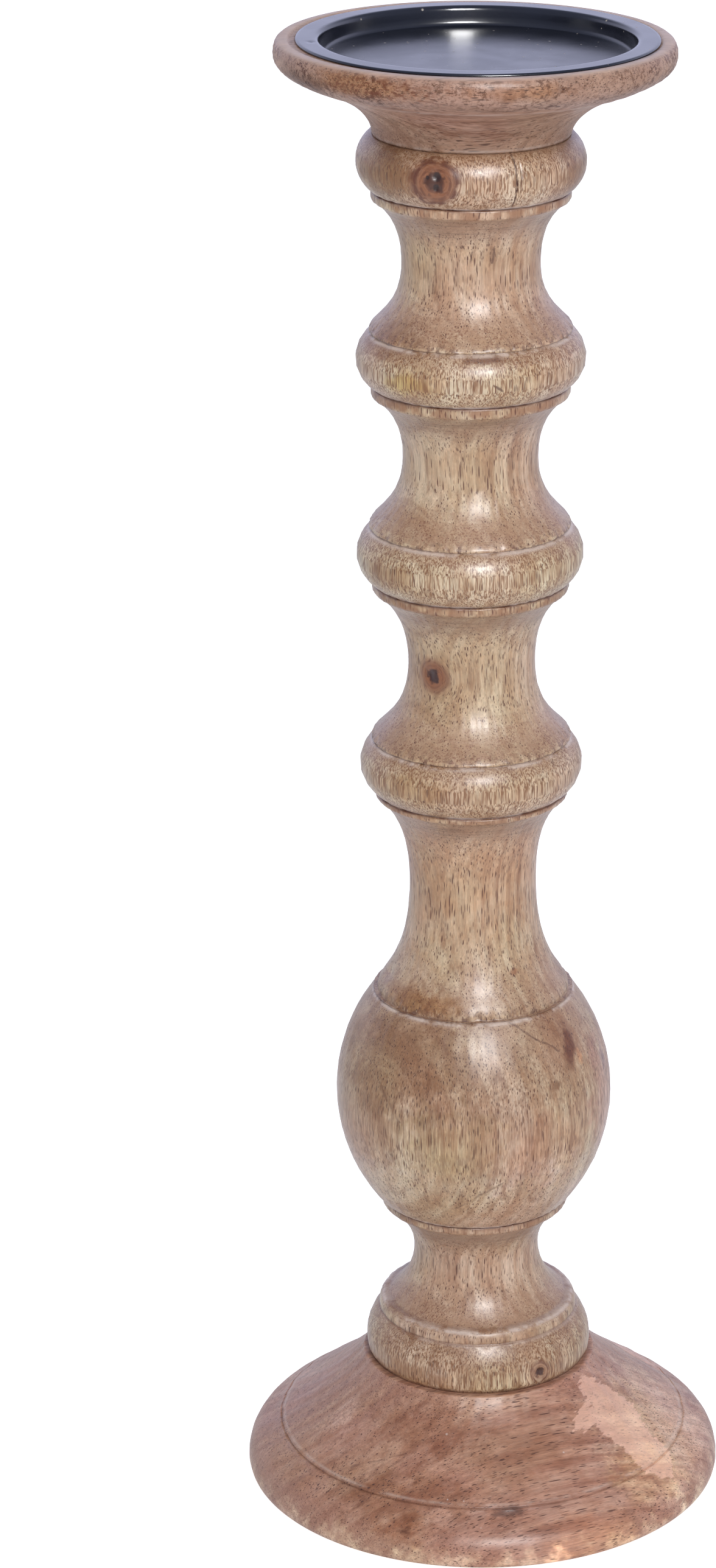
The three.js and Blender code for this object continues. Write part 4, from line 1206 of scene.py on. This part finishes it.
def dish_material():
    """Brown wood with its grain level, speckled where the rim cuts across it, with painted light on the rim's
    top and painted reflection at its left and right ends.
    """
    material, s, bsdf, place = dressing("dish_lacquered_wood")
    end_grain = s.remap(s.math("ABSOLUTE", facing(s, level(DISH_GRAIN))), 0.3, 0.95, 0.0, 0.85)
    laid = lying(s, place, DISH_GRAIN)
    grain = s.group(GRAIN, Position=laid, End_Grain=end_grain, Pith=(-380, 60, 0), Ring=4.2, Lines=0.15,
                    Pore_Amount=1.2, Light=(186, 154, 134), Middle=(164, 130, 110), Dark=(122, 88, 68),
                    End=(170, 130, 102), Fleck=(98, 60, 42), Pore=(82, 52, 40))
    rim = s.mark("rim")
    dashes = s.group(PORES, Position=s.vector("ADD", laid, (9, 4, 2)), Width=0.62, Length=3.8, Amount=0.9)[0]
    colour = s.lay(grain["Color"], (180, 150, 132), rim, 0.4)
    crumbs = s.remap(s.noise(place, 0.75, 5, 0.78), 0.48, 0.58, 0.0, 0.95)
    patches = s.remap(s.noise(place, 0.09, 3), 0.36, 0.6, 0.35, 1.0)
    colour = s.lay(colour, (98, 60, 38), rim, patches, crumbs)
    colour = s.lay(colour, (72, 46, 36), dashes, rim, 0.8)
    streaks = s.remap(s.noise(laid, (1.5, 1.5, 0.09), 3), 0.46, 0.6)
    streaked = s.math("MAXIMUM", blot(s, place, (-24, -43, 396.6), (34, 16, 4.2)),
                      s.times(blot(s, place, (-5, -28, 382.5), (24, 14, 7)), 0.6))
    colour = spotted(s, place, colour, DISH_SPOTS)
    colour = s.lay(colour, (110, 60, 38), streaked, streaks, 0.75)
    # Painted light: the rim's flat top is made paler, as it faces the light
    colour = s.lay(colour, (206, 182, 168), s.mark("top"), 0.75)
    colour = s.lay(colour, (70, 52, 46), s.mark("residue"), 0.9)
    lacquered(s, bsdf, place, worn(s, place, colour, (84, 58, 46)), grain, 0.46, 0.2)
    return material


def pan_material():
    """Black powder coat with fine orange peel, dust specks and a few dull smears."""
    material, s, bsdf, place = dressing("pan_powder_coat")
    dust = s.group(SPECKS, Position=place, Spacing=3.4, Amount=1.0)[0]
    colour = s.mix(s.remap(s.noise(place, 0.06, 3), 0.3, 0.7), (16, 18, 27), (24, 27, 38))
    smears = s.remap(s.noise(place, 0.09, 3), 0.3, 0.7, -0.03, 0.03)
    rough = s.plus(smears, s.remap(s.parts(place)[2], 396.6, 397.8, 0.24, 0.18))
    finished(s, bsdf, s.lay(colour, (190, 180, 165), dust, 0.8), s.math("MULTIPLY_ADD", dust, 0.4, rough),
             s.times(s.noise(place, 1.3), 0.006))
    constant(bsdf, IOR=1.72)
    return material


def zinc_material():
    """Bright zinc plate, brushed a little, with dull spots."""
    material, s, bsdf, place = dressing("screw_zinc_plate")
    spots = s.noise(place, 0.7, 4, 0.6)
    colour = s.mix(s.remap(spots, 0.35, 0.7), (196, 198, 202), (150, 152, 154))
    brushed = s.noise(place, (0.9, 0.9, 4))
    finished(s, bsdf, colour, s.remap(spots, 0.3, 0.75, 0.22, 0.5), s.times(brushed, 0.01))
    constant(bsdf, Metallic=1.0)
    return material


def felt_material():
    """Pressed dark felt: matted fibres in many directions."""
    material, s, bsdf, place = dressing("pad_pressed_felt")
    fibres = s.noise(place, 2.6, 4, 0.7, 1.5)
    matted = s.remap(s.noise(place, 0.5, 3), 0.4, 0.7, 0.0, 0.4)
    colour = s.mix(s.remap(fibres, 0.35, 0.7), (38, 33, 31), (78, 70, 66))
    finished(s, bsdf, s.mix(matted, colour, (30, 26, 25)), 0.95, s.times(fibres, 0.25))
    constant(bsdf, Sheen_Weight=0.3)
    return material


def dress(piece, material, node, body="stand"):
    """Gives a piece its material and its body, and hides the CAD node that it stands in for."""
    piece.data.materials.append(material)
    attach(piece, body)
    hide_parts(node)


zinc, felt = zinc_material(), felt_material()
dress(column, column_material(), "column")
dress(base, base_material(), "base")
dress(dish, dish_material(), "dish")
dress(drip_pan, pan_material(), "drip_pan", "pan")
for node in ("dish_washer", "base_washer"):
    dress(washer(node), zinc, node)
for node, head_up in (("dish_screw", True), ("base_screw", False)):
    dress(screw(node, head_up), zinc, node)
for number in range(1, 5):
    node = "felt_pad_%d" % number
    dress(felt_pad(node), felt, node)


# Floor, light and camera

WHITE = (1.0, 1.0, 1.0, 1.0)


def floor():
    """A wide pale floor, white to the camera where nothing shades it."""
    half = 6.0
    mesh = bpy.data.meshes.new("studio_floor")
    corners = [(-half, -half, 0), (half, -half, 0), (half, half, 0), (-half, half, 0)]
    mesh.from_pydata(corners, [], [(0, 1, 2, 3)])
    material, s, bsdf = new_material("studio_floor_white")
    constant(bsdf, Base_Color=(0.8, 0.81, 0.86, 1.0), Roughness=1.0, Specular_IOR_Level=0.0,
             Emission_Color=WHITE)
    rays = s.node("LightPath").outputs
    s.fill(bsdf, Emission_Strength=s.math("MULTIPLY_ADD", rays["Is Camera Ray"], 0.65, 0.25))
    mesh.materials.append(material)
    plane = link("studio_floor", mesh)


SKY = (0.86, 0.88, 1.0)
SKY_STRENGTH = 0.55
GLOSS_SKY = (0.94, 0.98, 1.34, 1.0)
GLOSS_ROOM = (0.26, 0.29, 0.42, 1.0)


def sky():
    """A plain light all round, white to the camera; gloss sees a bluish backdrop in a dim room."""
    world = bpy.data.worlds.new("studio_light")
    bpy.context.scene.world = world
    world.use_nodes = True
    s = Shader(world.node_tree)
    rays = s.node("LightPath").outputs
    mirrored = s.math("ADD", rays["Is Glossy Ray"], rays["Is Transmission Ray"], clamp=True)
    along = s.parts(s.node("TexCoord").outputs["Generated"])
    backdrop = s.times(s.remap(along[1], -0.2, 0.5), s.remap(along[2], 0.7, 0.3))
    plain = s.vector("SCALE", SKY, s.remap(along[0], -1.0, 1.0, 0.78, 1.1, smooth=False))
    seen = s.mix(mirrored, s.vector("SCALE", plain, SKY_STRENGTH), s.mix(backdrop, GLOSS_ROOM, GLOSS_SKY))
    s.fill(world.node_tree.nodes["Background"], Strength=1.0, Color=s.mix(rays["Is Camera Ray"], seen, WHITE))


def aim(thing, place, right, up, back):
    """Stands a lamp or a camera at a place, with its own three axes."""
    rows = [[right[i], up[i], back[i], place[i]] for i in range(3)]
    thing.matrix_world = Matrix(rows + [[0, 0, 0, 1]])
    return thing


LAMPS_AIM = (0.0, 0.0, 0.2)
LAMPS_DISTANCE = 1.3


def soft_box(name, turn, elevation, size, watts):
    """A square lamp at a turn and an elevation from the aim point, facing it."""
    lamp = bpy.data.lights.new(name, "AREA")
    lamp.size, lamp.energy = size, watts
    a, e = math.radians(turn), math.radians(elevation)
    away = np.array([math.sin(a) * math.cos(e), -math.cos(a) * math.cos(e), math.sin(e)])
    right = np.cross((0.0, 0.0, 1.0), away)
    right /= np.linalg.norm(right)
    place = np.array(LAMPS_AIM) + away * LAMPS_DISTANCE
    return aim(link(name, lamp), place, right, np.cross(away, right), away)


CAMERA_PLACE = (0.0, -1.1645, 0.6343)
CAMERA_YAW, CAMERA_PITCH, CAMERA_ROLL = 1.5695, 20.4013, -0.80
CAMERA_LENS = 107.62


def camera():
    """The photograph's view: yaw brings the holder right of the middle, roll sets it upright."""
    seen = bpy.data.cameras.new("photo_view")
    seen.lens, seen.sensor_width = CAMERA_LENS, 36.0
    seen.clip_start, seen.clip_end = 0.05, 50.0
    yaw, pitch, roll = (math.radians(v) for v in (CAMERA_YAW, CAMERA_PITCH, CAMERA_ROLL))
    forward = np.array([-math.sin(yaw) * math.cos(pitch), math.cos(yaw) * math.cos(pitch), -math.sin(pitch)])
    right = np.array([math.cos(yaw), math.sin(yaw), 0.0])
    up = np.cross(right, forward)
    right, up = (right * math.cos(roll) + up * math.sin(roll), up * math.cos(roll) - right * math.sin(roll))
    bpy.context.scene.camera = aim(link("photo_view", seen), CAMERA_PLACE, right, up, -forward)


floor()
sky()
soft_box("key_lamp", 10.0, 38.0, 0.4, 8.4).visible_glossy = False
soft_box("gloss_lamp", 13.0, 34.0, 0.3, 20.0).visible_diffuse = False
camera()
bpy.context.scene.view_settings.view_transform = "Standard"
